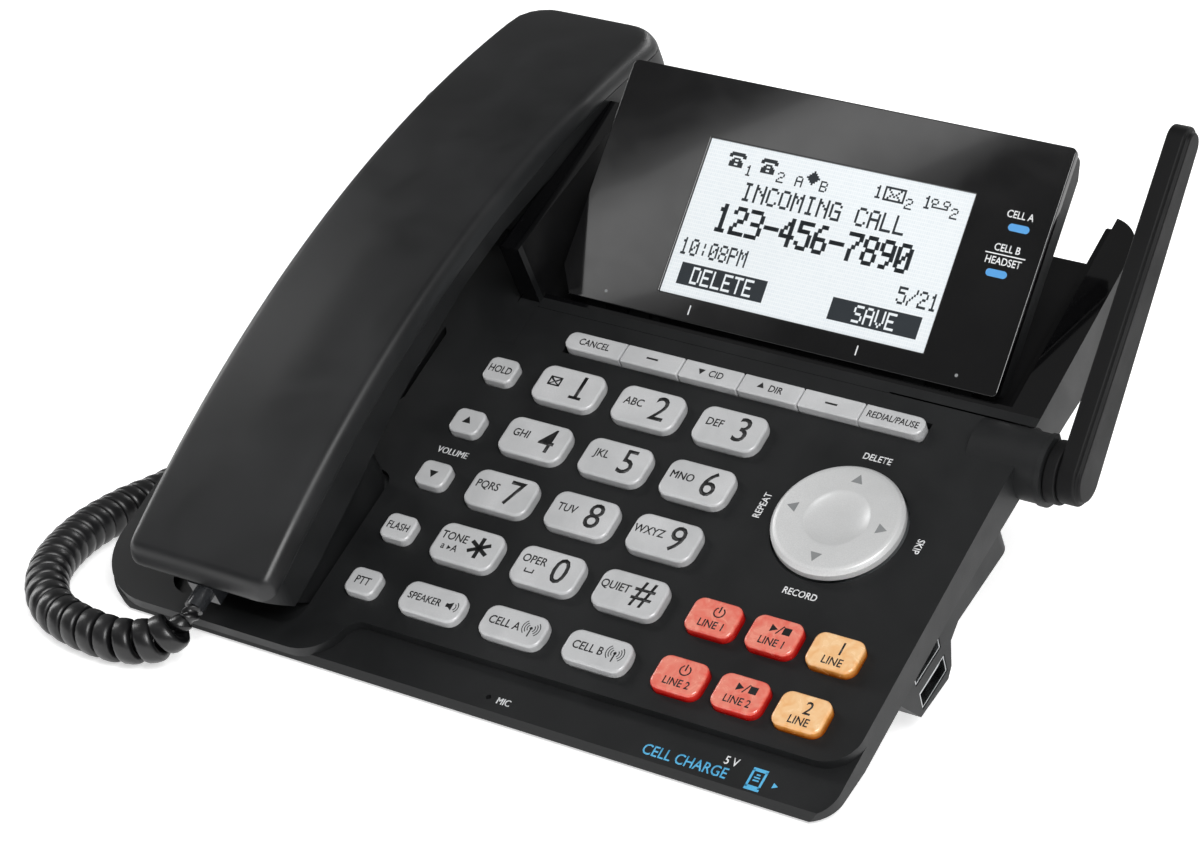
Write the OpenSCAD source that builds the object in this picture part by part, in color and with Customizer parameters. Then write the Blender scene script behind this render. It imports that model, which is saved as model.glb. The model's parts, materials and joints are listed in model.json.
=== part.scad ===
// Desk telephone base with a built-in answering system: sloping deck of keys,
// tilting display, folding antenna, handset in its cradle and a curly handset cord.
// Deck coordinates: x across, y up the slope, z out of the deck surface (z = 0).

/* [Base] */
// Left edge of the base
base_left = -116.7; // [-118:0.1:-116]
// Right edge of the base
base_right = 100.3; // [100:0.1:101]
// Length of the base up the slope
base_depth = 189; // [188:0.5:191]
// Slope of the deck above the table, degrees
tilt = 28.85; // [28:0.05:29.5]
// Slope of the underside against the deck, degrees
underside_slope = 9.8; // [9.4:0.1:10]
// Thickness of the deck plate and the outer walls
wall = 2.4; // [2:0.1:2.6]
// Step from the deck down to the front lip
lip_step = 3; // [2.5:0.1:3.2]

/* [Keys] */
// Distance between dial key columns
key_pitch_x = 24; // [23.5:0.1:24.4]
// Distance between key rows
key_pitch_y = 17.87; // [17.6:0.01:18]
// Height of a key top above the deck
key_rise = 2.6; // [2.2:0.1:3]
// How far a key travels when pressed
key_travel = 0.8; // [0.6:0.1:0.8]
// Clearance round keys and other moving pieces
gap = 0.3; // [0.25:0.05:0.35]
// Radius of the round navigation disc
nav_r = 16.9; // [16.5:0.1:17.1]

/* [Display] */
// Width of the tilting display
display_w = 129.5; // [128:0.5:131]
// Height of the tilting display
display_h = 66.3; // [65:0.1:68]
// Thickness of the display head
display_t = 8; // [7.5:0.1:8.2]
// Angle between the display and the deck at rest, degrees
display_angle = 23.97; // [23:0.01:25]

/* [Antenna] */
// Length of the antenna paddle from its pivot to the tip centre
paddle_l = 86; // [80:1:90]
// Lean of the antenna above the deck at rest, degrees
paddle_angle = 25.9; // [20:0.1:30]
// Thickness of the paddle
paddle_t = 6; // [5:0.1:6.5]

/* [Handset] */
// Width of the handset
handset_w = 46; // [45:0.1:46]
// Radius of the arched seam between its two shells
seam_r = 333; // [331:1:335]
// Thickness of the upper shell
upper_t = 8; // [7.5:0.1:9]

/* [Cord] */
// Radius from the coil's centre line to the cord's centre line
coil_r = 4.7; // [4.4:0.1:4.8]
// Distance between curls along the coil
curl_pitch = 4; // [3.9:0.1:4.4]
// Width and thickness of the flattened cord
cord_size = [2.8, 2.4]; // [2.2:0.1:3]

/* [Hidden] */
// deck origin above and behind the part's origin
deck_y = -89.46;
deck_z = 5;
plate_z = -wall;

// ---- key layout: name, x, y, width, depth, corner radius, colour ----
row_y = [for (i = [0:4]) 96 - i * key_pitch_y];
dial_x = [for (i = [-1:1]) 2.8 + i * key_pitch_x];
dial_names = ["key_1", "key_2", "key_3", "key_4", "key_5", "key_6",
    "key_7", "key_8", "key_9", "key_star", "key_0", "key_pound"];
line_names = ["key_speaker", "key_cell_a", "key_cell_b"];
side_names = ["key_hold", "key_volume_up", "key_volume_down", "key_flash", "key_ptt"];
answer_names = ["key_line1", "key_line1_play", "key_line2", "key_line2_play"];
amber_names = ["key_amber_1", "key_amber_2"];
func_pitch = 17.45;
func_x = -29.9;
func_y = [107.8, 113.5];
silver = "silver";
red_key = "firebrick";
amber_key = "sandybrown";
dial_keys = [for (i = [0:11])
    [dial_names[i], dial_x[i % 3], row_y[floor(i / 3)], 18.8, 11.6, 4, silver]];
line_keys = [for (i = [0:2]) [line_names[i], -21 + i * 24.1, row_y[4], 18.1, 9.4, 4.5, silver]];
side_keys = [for (i = [0:4]) [side_names[i], -42, row_y[i], 8.9, 7.8, 2.4, silver]];
answer_keys = [for (i = [0:3])
    [answer_names[i], 50.4 + (i % 2) * 16.7, row_y[3 + floor(i / 2)], 13.3, 10, 3, red_key]];
amber_keys = [for (i = [0:1]) [amber_names[i], 83.7, row_y[3 + i], 13.3, 10, 3, amber_key]];
func_keys = [for (i = [0:5]) [str("func_key_", i + 1), func_x + (i + 0.5) * func_pitch,
    (func_y[0] + func_y[1]) / 2, func_pitch - gap, func_y[1] - func_y[0], 0.8, silver]];
KEYS = concat(dial_keys, line_keys, side_keys, answer_keys, amber_keys, func_keys);

// step between two arcs that would otherwise meet in a bare touch
arc_step = 0.03;
front_edge = 1.6;
deck_front = 14.5;
nav_at = [66.6, row_y[1]];
dish_r = 30.9;
// the keys' flanges end a press and a gap above the rubber mat, and the board lies below it
key_base = -3.5;
membrane_top = key_base - key_travel - gap;
membrane_z = [membrane_top - 0.6, membrane_top];
board_z = [membrane_z[0] - 1.2, membrane_z[0]];
board_lo = [-46, 17.5];
board_hi = [90, 117.5];
well_y = 119.6;
recess_y = 124.3;
recess_x = [-44.8, 92];
recess_z = -11;
recess_end = 181;
floor_t = 1.6;
jacks_y = 74;
hub_at = [113.5, -6.5];
barrel_r = 8.9;
barrel_end = 107.2;
handset_x = -74.2;
handset_y = [3, 213];
seam_at = [93, 28.1 - seam_r];
ear_block = [142, 183];
mouth_block = [8, 58];
block_w = 40;
ear_floor = -8.8;
mouth_floor = -2;
side_x = base_right - 2;
inset_x = 88;
screw_at = [[-108, 22], [94.2, 26], [-108, 135], [-30, 170], [80, 170]];
hinge_at = [128.5, -4];
hinge_x = [-24, 70];
pin_r = 1.5;
window_x = [-12.2, 65];
window_q = [6.7, 49.6];
display_x = -42;
jack_at = [110, -16];
plug_at = [3, 11.5];
hook_at = [-60.2, 150.5];
receiver_y = 164.5;
usb_at = [[56.2, -12.6], [55.9, -21.8]];
usb_size = [13.3, 5.7];
usb_tip = 6.6;

// ---- places ----
function deck_point(p) = [p.x, deck_y + p.y * cos(tilt) - p.z * sin(tilt),
    deck_z + p.y * sin(tilt) + p.z * cos(tilt)];
// underside height above the table at a place on the table
function under_at(y) = let (p = deck_point([0, front_edge, -5.5]))
    p.z + (y - p.y) * tan(tilt - underside_slope);
function under_z(y) = -5.5 - tan(underside_slope) * (y - front_edge);
// height of the screw heads' inner faces; the rear ones lie deeper, clear of the desk stand
function head_z(y) = under_z(y) + (y < 60 ? 1 : 1.5);

module deck() translate([0, deck_y, deck_z]) rotate([tilt, 0, 0]) children();

// a profile drawn in deck y and z, swept from x0 to x1
module across(x0, x1) translate([x0, 0, 0]) rotate([90, 0, 90]) linear_extrude(x1 - x0) children();

// a plan outline raised from z0 to z1
module raise(z0, z1) translate([0, 0, z0]) linear_extrude(z1 - z0) children();

// rectangle from lo to hi with its own radius at each corner, counted from the front left
module corner_rect(lo, hi, radii) {
    corners = [lo, [hi.x, lo.y], hi, [lo.x, hi.y]];
    inward = [[1, 1], [-1, 1], [-1, -1], [1, -1]];
    difference() {
        translate(lo) square(hi - lo);
        for (i = [0:3])
            translate(corners[i] + radii[i] / 2 * inward[i]) square(radii[i] + 0.001, center = true);
    }
    for (i = [0:3])
        if (radii[i] > 0) translate(corners[i] + radii[i] * inward[i]) circle(radii[i], $fn = 48);
}

module round_rect(w, d, r) corner_rect([-w / 2, -d / 2], [w / 2, d / 2], [r, r, r, r]);

// a bevelled bar profile, used from two sides to bevel a key top
module bevel_profile(w, z0, z1, b)
    polygon([[-w / 2, z0], [w / 2, z0], [w / 2, z1 - b], [w / 2 - b, z1],
        [b - w / 2, z1], [-w / 2, z1 - b]]);

module bevelled(w, d, r, z0, z1, b) intersection() {
    raise(z0, z1) round_rect(w, d, r);
    across(-w, w) bevel_profile(d, z0, z1, b);
    translate([0, d, 0]) rotate([90, 0, 0]) linear_extrude(2 * d) bevel_profile(w, z0, z1, b);
}

// ---- keys ----
module key(k) color(k[6]) deck() translate([k[1], k[2], 0]) {
    flange = k[3] > 17 && k[4] < 6 ? 0 : 0.8;
    bevelled(k[3], k[4], k[5], -3.4, key_rise, 0.9);
    raise(key_base, plate_z - gap) round_rect(k[3] + 2 * flange, k[4] + 1.6, min(k[5], 2));
}

module nav_disc() color("lightgray") deck() translate([nav_at.x, nav_at.y, 0]) difference() {
    rotate_extrude($fn = 72) polygon([[0, -1.4], [nav_r - 0.4, -1.4], [nav_r, -1], [nav_r, 1.4],
        [nav_r - 1.2, 2.9], [nav_r - 3, 3.2], [0, 2.6]]);
    translate([0, 0, 1.9 + dish_r]) sphere(dish_r, $fn = 96);
    translate([0, 0, -1.5]) cylinder(r = 3.3, h = 1.2, $fn = 32);
}

module nav_boss() color("dimgray") deck() translate([nav_at.x, nav_at.y, 0]) {
    translate([0, 0, -4.3]) cylinder(r = 3, h = 3.7, $fn = 32);
    translate([0, 0, -4.3]) cylinder(r = 4, h = 0.8, $fn = 32);
}

// ---- base shells ----
module base_outline() corner_rect([base_left, front_edge - 1], [base_right, base_depth], [18, 9, 10, 10]);

// the raised deck: its front edge swings forward below the handset in two tangent arcs
module deck_outline() {
    outer = [-52.4, front_edge + 12];
    reach = 12 + 5 + arc_step;
    inner = [outer.x + sqrt(reach * reach - pow(outer.y - deck_front + 5, 2)), deck_front - 5];
    corner_rect([base_left, front_edge], [outer.x + 12, base_depth], [18, 12, 0, 10]);
    corner_rect([-60, deck_front], [base_right, base_depth], [0, 9, 10, 0]);
    difference() {
        polygon([outer, inner, [inner.x, deck_front + 0.1], [outer.x, deck_front + 0.1]]);
        translate(inner) circle(5, $fn = 48);
    }
}

// the upper shell's seen side, with its seam line sinking towards the rear
module skirt_profile() polygon([[front_edge, under_z(front_edge)], [20, under_z(20)],
    [73, -8.7], [104, -11], [133, -13.5], [base_depth, -21], [base_depth, -lip_step], [3, -lip_step]]);

module key_holes() {
    for (k = concat(dial_keys, line_keys, side_keys, answer_keys, amber_keys))
        translate([k[1], k[2]]) round_rect(k[3] + 2 * gap, k[4] + 2 * gap, k[5] + gap);
    translate([func_x - gap, func_y[0] - gap])
        square([6 * func_pitch + 2 * gap, func_y[1] - func_y[0] + 2 * gap]);
    translate(nav_at) circle(nav_r + 2 * gap, $fn = 72);
}

// pockets that take the ends of the handset
module handset_pockets(grow, low) {
    half = block_w / 2 + grow;
    raise(ear_floor - low, 9) corner_rect([handset_x - half, ear_block[0] - grow],
        [handset_x + half, ear_block[1] + grow], [4, 4, 8, 8]);
    raise(mouth_floor - low, 9) corner_rect([handset_x - half, mouth_block[0] - grow],
        [handset_x + half, mouth_block[1] + grow], [6, 6, 4, 4]);
}

// sound slots in a rounded lozenge below the handset grip
module grille_slots() intersection() {
    translate([-80, 93]) round_rect(34, 34, 12);
    for (i = [-4:4]) translate([-80 + 3.6 * i, 93]) square([1.6, 40], center = true);
}

// tubs below the two handset pockets
module pocket_tubs() intersection() {
    handset_pockets(2, 1.6);
    raise(-11, -1) translate([-120, 12]) square([80, 176]);
}

module top_shell() difference() {
    union() {
        raise(-lip_step - 0.5, 0) deck_outline();
        intersection() {
            raise(-22, -lip_step) base_outline();
            across(base_left - 1, base_right + 1) skirt_profile();
        }
    }
    // hollow below the deck plate
    raise(-30, plate_z) corner_rect([base_left + wall, 17], [inset_x, base_depth - wall],
        [8, 4, 4, 8]);
    raise(-30, plate_z - 0.2) corner_rect([60, 17.5], [side_x - 0.4, 100], [4, 6, 4, 4]);
}

module top_cover() color("#262728") deck() difference() {
    union() {
        top_shell();
        pocket_tubs();
        // low wall on the handset's left
        across(-103, -97.5) polygon([[100, -1], [106, 14], [180, 8], [183, -1]]);
        for (s = screw_at) if (s.y < 140)
            translate([s.x, s.y, s.y < 60 ? -6.6 : -17.5])
                cylinder(r = 2.9, h = s.y < 60 ? 5.1 : 16, $fn = 32);
        // barrel that carries the antenna pivot
        translate([inset_x - 1, hub_at.x, hub_at.y]) rotate([0, 90, 0])
            cylinder(r = barrel_r, h = barrel_end - inset_x, $fn = 72);
        translate([barrel_end - 1.5, hub_at.x, hub_at.y]) rotate([0, 90, 0])
            cylinder(r = barrel_r + 0.4, h = 1.5, $fn = 72);
    }
    // room for the display well, open to the rear
    raise(-30, 1) translate([recess_x[0] - 6.4, well_y]) square([base_right + 60, 80]);
    raise(-40, 1) key_holes();
    raise(-9, 1) grille_slots();
    handset_pockets(0.5, 0);
    // mouth of the hook plunger
    translate([hook_at.x, hook_at.y, -20]) cylinder(r = 2.7, h = 30, $fn = 32);
    translate([60, hub_at.x, hub_at.y]) rotate([0, 90, 0]) cylinder(r = 4.05, h = 60, $fn = 48);
    // microphone hole in the lip
    translate([4.5, 6.5, -9]) cylinder(r = 0.7, h = 8, $fn = 24);
    for (s = screw_at) translate([s.x, s.y, -18]) cylinder(r = 1.25, h = 15, $fn = 24);
}

// underside and inner floor of the lower shell between two places along the slope
module tray_profile(y0, y1, lift) polygon([[y0, 0], [y0, under_z(y0) + lift],
    [y1, under_z(y1) + lift], [y1, 0]]);

module usb_bulge() polygon([[40, -8.7], [47.4, -25], [61.5, -28.1], [64.2, -26.2],
    [66.9, -19.3], [72, -17.6], [72, -8.7]]);

module usb_holes(grow) for (p = usb_at) translate([80, p.x, p.y]) rotate([-usb_tip, 0, 0])
    translate([0, -usb_size.x / 2 - grow, -usb_size.y / 2 - grow])
        cube([40, usb_size.x + 2 * grow, usb_size.y + 2 * grow]);

// the lower shell's top edge follows the seam under the upper shell
module seam_profile() polygon([[20, -8.7], [73, -8.7], [104, -11], [133, -13.5],
    [187, -21], [187, -60], [20, -60]]);

// outline of the lower shell's walls, open at the front where the floor plate takes over
module tray_outline(inset) {
    corner_rect([base_left + 2 + inset, 26 - 2 * inset], [side_x - inset, 101 - inset],
        [0, 0, 5 - inset, 0]);
    corner_rect([base_left + 2 + inset, 60], [inset_x - inset, 187 - inset],
        [0, 0, 8 - inset, 8 - inset]);
}

// floor plate that fits inside the upper shell
module floor_outline() {
    corner_rect([base_left + wall + gap, 17.8], [side_x - 0.7, 99.5], [8, 6, 4, 0]);
    corner_rect([base_left + wall + gap, 60], [inset_x - gap, 186], [0, 0, 8, 8]);
}

module bottom_cover() color("#2b2c2d") deck() difference() {
    union() {
        difference() {
            intersection() {
                raise(-60, -8) tray_outline(0);
                across(base_left, base_right) seam_profile();
                across(base_left, base_right) tray_profile(22, 188, 0);
            }
            intersection() {
                raise(-60, -4) tray_outline(wall);
                across(base_left, base_right) tray_profile(21, 189, floor_t);
            }
        }
        across(78, side_x) usb_bulge();
        // block behind the handset jack
        translate([base_left + wall + gap, jack_at.x - 7, jack_at.y - 6]) cube([14, 14, 12]);
        for (s = screw_at) translate([s.x, s.y, under_z(s.y) + 0.5])
            cylinder(r = 3.6, h = s.y < 60 ? 0.8 : s.y < 140 ? 10 : 8, $fn = 32);
        intersection() {
            raise(-60, -4) floor_outline();
            across(base_left, base_right) polygon([[10, under_z(10)], [190, under_z(190)],
                [190, under_z(190) + floor_t], [10, under_z(10) + floor_t]]);
        }
    }
    usb_holes(0.1);
    // room for the antenna barrel's root and the display well's floor
    translate([inset_x - wall - 1, 104, recess_z - 2 - gap]) cube([wall + 2, 27, 6]);
    translate([inset_x - 1 - gap, hub_at.x, hub_at.y]) rotate([0, 90, 0])
        cylinder(r = barrel_r + gap, h = 2, $fn = 72);
    translate([base_left, jack_at.x - 4.1, jack_at.y - 3.6]) cube([13, 8.2, 7.2]);
    for (s = screw_at) {
        translate([s.x, s.y, -60]) cylinder(r = 1.6, h = 60, $fn = 24);
        translate([s.x, s.y, -60]) cylinder(r = 3, h = 60 + head_z(s.y), $fn = 32);
    }
    // sound and cooling slots
    for (i = [0:6]) translate([-96 + 6 * i, 72, -40]) cube([2.2, 30, 40]);
    for (i = [0:6]) translate([20 + 6 * i, 120, -60]) cube([2.2, 26, 60]);
    jack_window();
}

// window in the sloping rear wall, level with the table
module jack_window() rotate([-tilt, 0, 0]) translate([-24.2, jacks_y - deck_y, 62.1 - deck_z])
    cube([68.4, 24, 12.8]);

module line_jacks() color("#3a3b3c") difference() {
    translate([-24, jacks_y + 0.2, 62.3]) cube([68, 12, 12.4]);
    for (x = [-16, 4]) translate([x, jacks_y + 2, 65]) {
        cube([9.7, 12, 6.6]);
        translate([2.85, 0, 6.5]) cube([4, 12, 1.2]);
    }
    translate([31, jacks_y + 14, 68.4]) rotate([90, 0, 0]) cylinder(r = 2.8, h = 11, $fn = 32);
}

// stand that holds the rear of the base up, hollow and open below
module desk_stand() color("#303132") difference() {
    across(-58, 52) polygon([[14, under_at(14)], [89, under_at(89)], [88, 50], [80, 2],
        [62, 2], [54, 18]]);
    across(-55.5, 49.5) polygon([[32, 30], [58, 19.4], [65.5, 4.4], [77, 4.4], [84.6, 51],
        [84.6, 57]]);
    across(-42, 36) polygon([[66, 8], [66, -1], [76, -1], [76, 8]]);
}

module rubber_feet() color("#1d1d1e") {
    for (x = [-92, 76]) intersection() {
        translate([x, -72, 0]) cylinder(r = 7, h = 12, $fn = 32);
        deck() across(-120, 120) polygon([[-20, -40], [-20, under_z(-20)],
            [60, under_z(60)], [60, -40]]);
    }
    for (x = [-50, 44]) translate([x, 72, 0]) cylinder(r = 5, h = 2, $fn = 32);
}

module cover_screws() color("silver") deck() for (s = screw_at)
    translate([s.x, s.y, head_z(s.y)]) {
        translate([0, 0, -0.95]) difference() {
            cylinder(r = 2.7, h = 0.95, $fn = 32);
            for (a = [0, 90]) rotate(a) translate([-1.8, -0.35, -1]) cube([3.6, 0.7, 1.5]);
        }
        cylinder(r = 1.2, h = s.y < 60 ? 4 : 13, $fn = 24);
    }

// ---- display ----
module display_well() color("#0c0c0d") deck() difference() {
    union() {
        // front border, right rail and floor of the recess
        raise(recess_z - 2, 0) difference() {
            corner_rect([recess_x[0] - 6, well_y + 0.1], [base_right, base_depth], [0, 0, 10, 0]);
            translate([recess_x[0], recess_y]) square([recess_x[1] - recess_x[0], 80]);
        }
        raise(recess_z - 2, recess_z) translate([recess_x[0] - 1, recess_y - 1])
            square([recess_x[1] - recess_x[0] + 2, recess_end - recess_y + 1]);
        // cradle wall beside the handset
        across(recess_x[0] - 6, recess_x[0]) polygon([[106, 0.05], [106, 21.5], [120, 21],
            [180, 15.3], [186, 8], [186, -1], [well_y + 0.1, -1], [well_y + 0.1, 0.05]]);
        // outer side that sinks with the seam
        intersection() {
            raise(-24, -5) corner_rect([inset_x + 0.3, well_y + 0.1], [base_right, base_depth],
                [0, 0, 10, 0]);
            across(inset_x, base_right + 1) polygon([[well_y, -4], [base_depth + 1, -4],
                [base_depth + 1, -21], [133, -13.5], [well_y, -12.4]]);
        }
        // rear wall that drops to the lower shell
        across(recess_x[0] - 6, inset_x + 1) polygon([[recess_end - wall, recess_z],
            [recess_end, recess_z], [187, -20.3], [187 - wall, -20.3], [recess_end - wall, -13]]);
        // hinge lugs
        for (x = hinge_x) across(x - 3, x + 3) hinge_lug();
        for (s = screw_at) if (s.y > 140)
            translate([s.x, s.y, -24]) cylinder(r = 3.2, h = 12, $fn = 32);
    }
    // slanted rear end of the rail
    across(recess_x[1] - 1, 96.5) polygon([[recess_end, recess_z - 3], [recess_end, recess_z],
        [base_depth, 0], [base_depth + 2, 1], [base_depth + 2, recess_z - 3]]);
    across(60, base_right + 1) translate([hub_at.x, hub_at.y]) circle(barrel_r + 0.35, $fn = 72);
    for (x = hinge_x) across(x - 9, x + 9) translate(hinge_at) circle(pin_r + 0.05, $fn = 32);
    for (s = screw_at) if (s.y > 140)
        translate([s.x, s.y, -25]) cylinder(r = 1.25, h = 10, $fn = 24);
}

module hinge_lug() {
    translate(hinge_at) circle(3.4, $fn = 32);
    translate([hinge_at.x - 3.4, recess_z - 1]) square([6.8, hinge_at.y - recess_z + 1]);
}

// display coordinates: x across, y up the display's face, z out of the face
module display() deck() translate([0, 124.8, 1.5]) rotate([display_angle, 0, 0]) children();

// face outline with its lower left corner cut off
module display_outline(inset) difference() {
    corner_rect([display_x + inset, inset], [display_x + display_w - inset, display_h - inset],
        [1, 1.5, 1.5, 1.5]);
    polygon([[display_x - 1, -1], [display_x + 5, -1], [display_x - 1, 9]]);
}

module display_window(grow) translate([window_x[0] - grow, window_q[0] - grow])
    square([window_x[1] - window_x[0] + 2 * grow, window_q[1] - window_q[0] + 2 * grow]);

module display_lens() color("#101012") display() difference() {
    raise(-2.2, 0) display_outline(0);
    raise(-3, 1) display_window(0);
}

module lcd_panel() color("#dfe6ea") display() union() {
    raise(-2.4, -0.5) display_window(-0.1);
    raise(-4.2, -2.3) display_window(3);
}

module display_shell() color("#1a1a1b") display() difference() {
    union() {
        // shallow tray with sloping edges
        intersection() {
            raise(-display_t, -2.3) display_outline(0.6);
            across(display_x - 1, display_x + display_w + 1) polygon([[0, -2.3], [0, -5],
                [5, -display_t], [display_h - 6, -display_t], [display_h, -4.5],
                [display_h, -2.3]]);
        }
        // hinge knuckles on both sides of each lug
        for (x = hinge_x) for (s = [-1, 1])
            across(x + 6.6 * s - 3, x + 6.6 * s + 3) intersection() {
                translate([1.15, -6.53]) circle(3.2, $fn = 32);
                translate([-4, -10]) square([12, 7.5]);
            }
    }
    raise(-4.3, -2) display_window(3.2);
    for (x = hinge_x) {
        across(x - 3.4, x + 3.4) translate([-6, -12]) square([12.5, 9.3]);
        across(x - 9.4, x + 9.4) translate([1.15, -6.53]) circle(pin_r + 0.05, $fn = 32);
    }
}

module display_hinge_pins() color("silver") deck() for (x = hinge_x)
    across(x - 9, x + 9) translate(hinge_at) circle(pin_r, $fn = 32);

// ---- antenna ----
module hub_axis() deck() translate([barrel_end, hub_at.x, hub_at.y])
    rotate([paddle_angle, 0, 0]) rotate([0, 90, 0]) children();

module antenna_hub() color("#161617") hub_axis() {
    translate([0, 0, gap]) cylinder(r = 8, h = 3.5 - gap, $fn = 64);
    translate([0, 0, -17]) cylinder(r = 4, h = 18, $fn = 48);
}

// stadium between two circles of different radii, with true tangents
module tapered_bar(length, r1, r2) {
    lean = asin((r1 - r2) / length);
    toe = [(r1 - arc_step) * sin(lean), (r1 - arc_step) * cos(lean)];
    tip = [length + (r2 - arc_step) * sin(lean), (r2 - arc_step) * cos(lean)];
    polygon([toe, tip, [tip.x, -tip.y], [toe.x, -toe.y]]);
    circle(r1, $fn = 64);
    translate([length, 0]) circle(r2, $fn = 48);
}

module antenna_paddle() color("#232425") hub_axis() rotate([0, 0, 90])
    translate([0, 0, 3.5]) {
        linear_extrude(paddle_t - 1.2) tapered_bar(paddle_l, 7.2, 4.8);
        translate([0, 0, paddle_t - 1.2]) linear_extrude(1.2) tapered_bar(paddle_l, 6, 3.6);
    }

// ---- handset ----
// a band round the arch of the handset, from its cross-section of radius and half width
module arch() translate([0, seam_at.x, seam_at.y]) rotate([90, 0, 90])
    rotate([0, 0, 55]) rotate_extrude(angle = 70, $fn = 360) children();

module handset_plan() corner_rect([handset_x - handset_w / 2, handset_y[0]],
    [handset_x + handset_w / 2, handset_y[1]], [7, 7, 11, 11]);

module handset_upper() color("#1f2021") deck() intersection() {
    translate([handset_x, 0, 0]) arch() polygon([[seam_r, -24], [seam_r + 4.3, -24],
        [seam_r + upper_t - 0.6, -19.6], [seam_r + upper_t, -17], [seam_r + upper_t, 17],
        [seam_r + upper_t - 0.6, 19.6], [seam_r + 4.3, 24], [seam_r, 24]]);
    raise(0, 60) handset_plan();
    across(-100, -48) polygon([[3, 0], [3, 20.5], [6.5, 24], [40, 45], [150, 45], [190, 28],
        [207, 15.5], [212, 12], [213, 8], [213, 0]]);
}

module handset_lower() color("#242526") deck() difference() {
    union() {
        intersection() {
            raise(-20, 60) handset_plan();
            across(-100, -48) intersection() {
                translate(seam_at) circle(seam_r - 0.02, $fn = 360);
                polygon([[3, 6.8], [22, 9.4], [45, 13.9], [64.5, 18.5], [85, 21.4], [105, 23],
                    [125, 22], [145, 18.6], [165, 13.5], [185, 7.4], [207, 0.8], [213, 0.8],
                    [213, 40], [3, 40]]);
            }
        }
        intersection() {
            raise(mouth_floor + gap, 14) corner_rect([handset_x - 19.5, mouth_block[0]],
                [handset_x + 19.5, mouth_block[1]], [6, 6, 4, 4]);
            across(-100, -48) polygon([[8, 14], [8, 2], [12, -3], [52, -3], [58, 3], [58, 14]]);
        }
        intersection() {
            raise(ear_floor + gap, 20) corner_rect([handset_x - 19.5, ear_block[0]],
                [handset_x + 19.5, ear_block[1]], [4, 4, 8, 8]);
            across(-100, -48) polygon([[142, 19], [142, -3], [147, -10], [178, -10],
                [183, -5], [183, 9]]);
        }
    }
    // jack in the front end, recesses for the receiver and microphone grilles
    translate([handset_x - 4.1, -1, plug_at.y - 3.6]) cube([8.2, 15, 7.2]);
    translate([handset_x, receiver_y, -10]) cylinder(r = 15.1, h = 10 + ear_floor + gap + 1.6, $fn = 64);
    translate([handset_x, 34, -4]) cylinder(r = 8.1, h = 4 + mouth_floor + gap + 1.2, $fn = 48);
}

module handset_receiver() color("#101011") deck() translate([handset_x, receiver_y, ear_floor + gap])
    difference() {
        cylinder(r = 15, h = 1.5, $fn = 64);
        for (r = [0, 5, 10]) for (i = [0:1:max(0, r * 1.2 - 1)])
            rotate(i * 360 / max(1, r * 1.2)) translate([r, 0, -1]) cylinder(r = 0.9, h = 4, $fn = 12);
    }

module handset_microphone() color("#101011") deck()
    translate([handset_x, 34, mouth_floor + gap]) difference() {
        cylinder(r = 8, h = 1.1, $fn = 48);
        for (y = [-2.5, 0, 2.5]) translate([-4, y - 0.5, -1]) cube([8, 1, 3]);
    }

// ---- inner pieces ----
module hook_switch() color("#4a4b4c") deck() translate([hook_at.x, hook_at.y, 0]) {
    translate([0, 0, -15]) cylinder(r = 2.4, h = 15 + ear_floor, $fn = 32);
    raise(-16, -14.4) round_rect(12, 9, 2);
}

module loudspeaker() color("#565758") deck() translate([-80, 93, 0]) {
    rotate_extrude($fn = 64) polygon([[0, -6], [8, -7], [16.5, -3.2], [19, -3.2], [19, -4.4],
        [17, -5], [11, -11.5], [11, -17], [0, -17]]);
}

// outline shared by the board and the rubber mat, clear of a screw post and the antenna barrel
module board_outline() difference() {
    translate(board_lo) square(board_hi - board_lo);
    translate([88, 22]) square([10, 9]);
    translate([85.5, 99]) square([10, 30]);
}

module main_board() color("darkgreen") deck() raise(board_z[0], board_z[1]) board_outline();

module keypad_membrane() color("#8c8f90") deck() raise(membrane_z[0], membrane_z[1]) board_outline();

module usb_ports() deck() for (p = usb_at) translate([84.3, p.x, p.y]) rotate([-usb_tip, 0, 0]) {
    color("silver") difference() {
        translate([0, -usb_size.x / 2, -usb_size.y / 2]) cube([13.8, usb_size.x, usb_size.y]);
        translate([1, 0.5 - usb_size.x / 2, 0.5 - usb_size.y / 2])
            cube([20, usb_size.x - 1, usb_size.y - 1]);
    }
    color("white") translate([0.5, -5.6, 0.3]) cube([12.4, 11.2, 1.8]);
}

// ---- curly cord ----
// hair's gap between the cord's square ends and the plugs
end_play = 0.2;
plug_end = deck_point([handset_x, plug_at.x - 5 - end_play, plug_at.y]);
jack_end = deck_point([base_left - 5 - end_play, jack_at.x, jack_at.y]);
out_dir = [0, -cos(tilt), -sin(tilt)];
// the cord's route from the handset's front end, over the table, to the jack in the left side
cord_route = concat([plug_end, plug_end + 4 * out_dir], [[-79, -105, 8], [-88, -108.5, 6.5],
    [-100, -108.5, 6.5], [-112, -105, 6.5], [-122, -97, 6.5], [-130, -85, 6.5],
    [-135, -68, 6.5], [-135.5, -51, 6.5], [-133, -36, 6.5], [-130, -22, 8], [-128, -9, 13],
    [-127, 0, 20], [-127, 7, 28], [-127.5, 12.5, 37]], [jack_end - [4, 0, 0], jack_end]);

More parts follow.
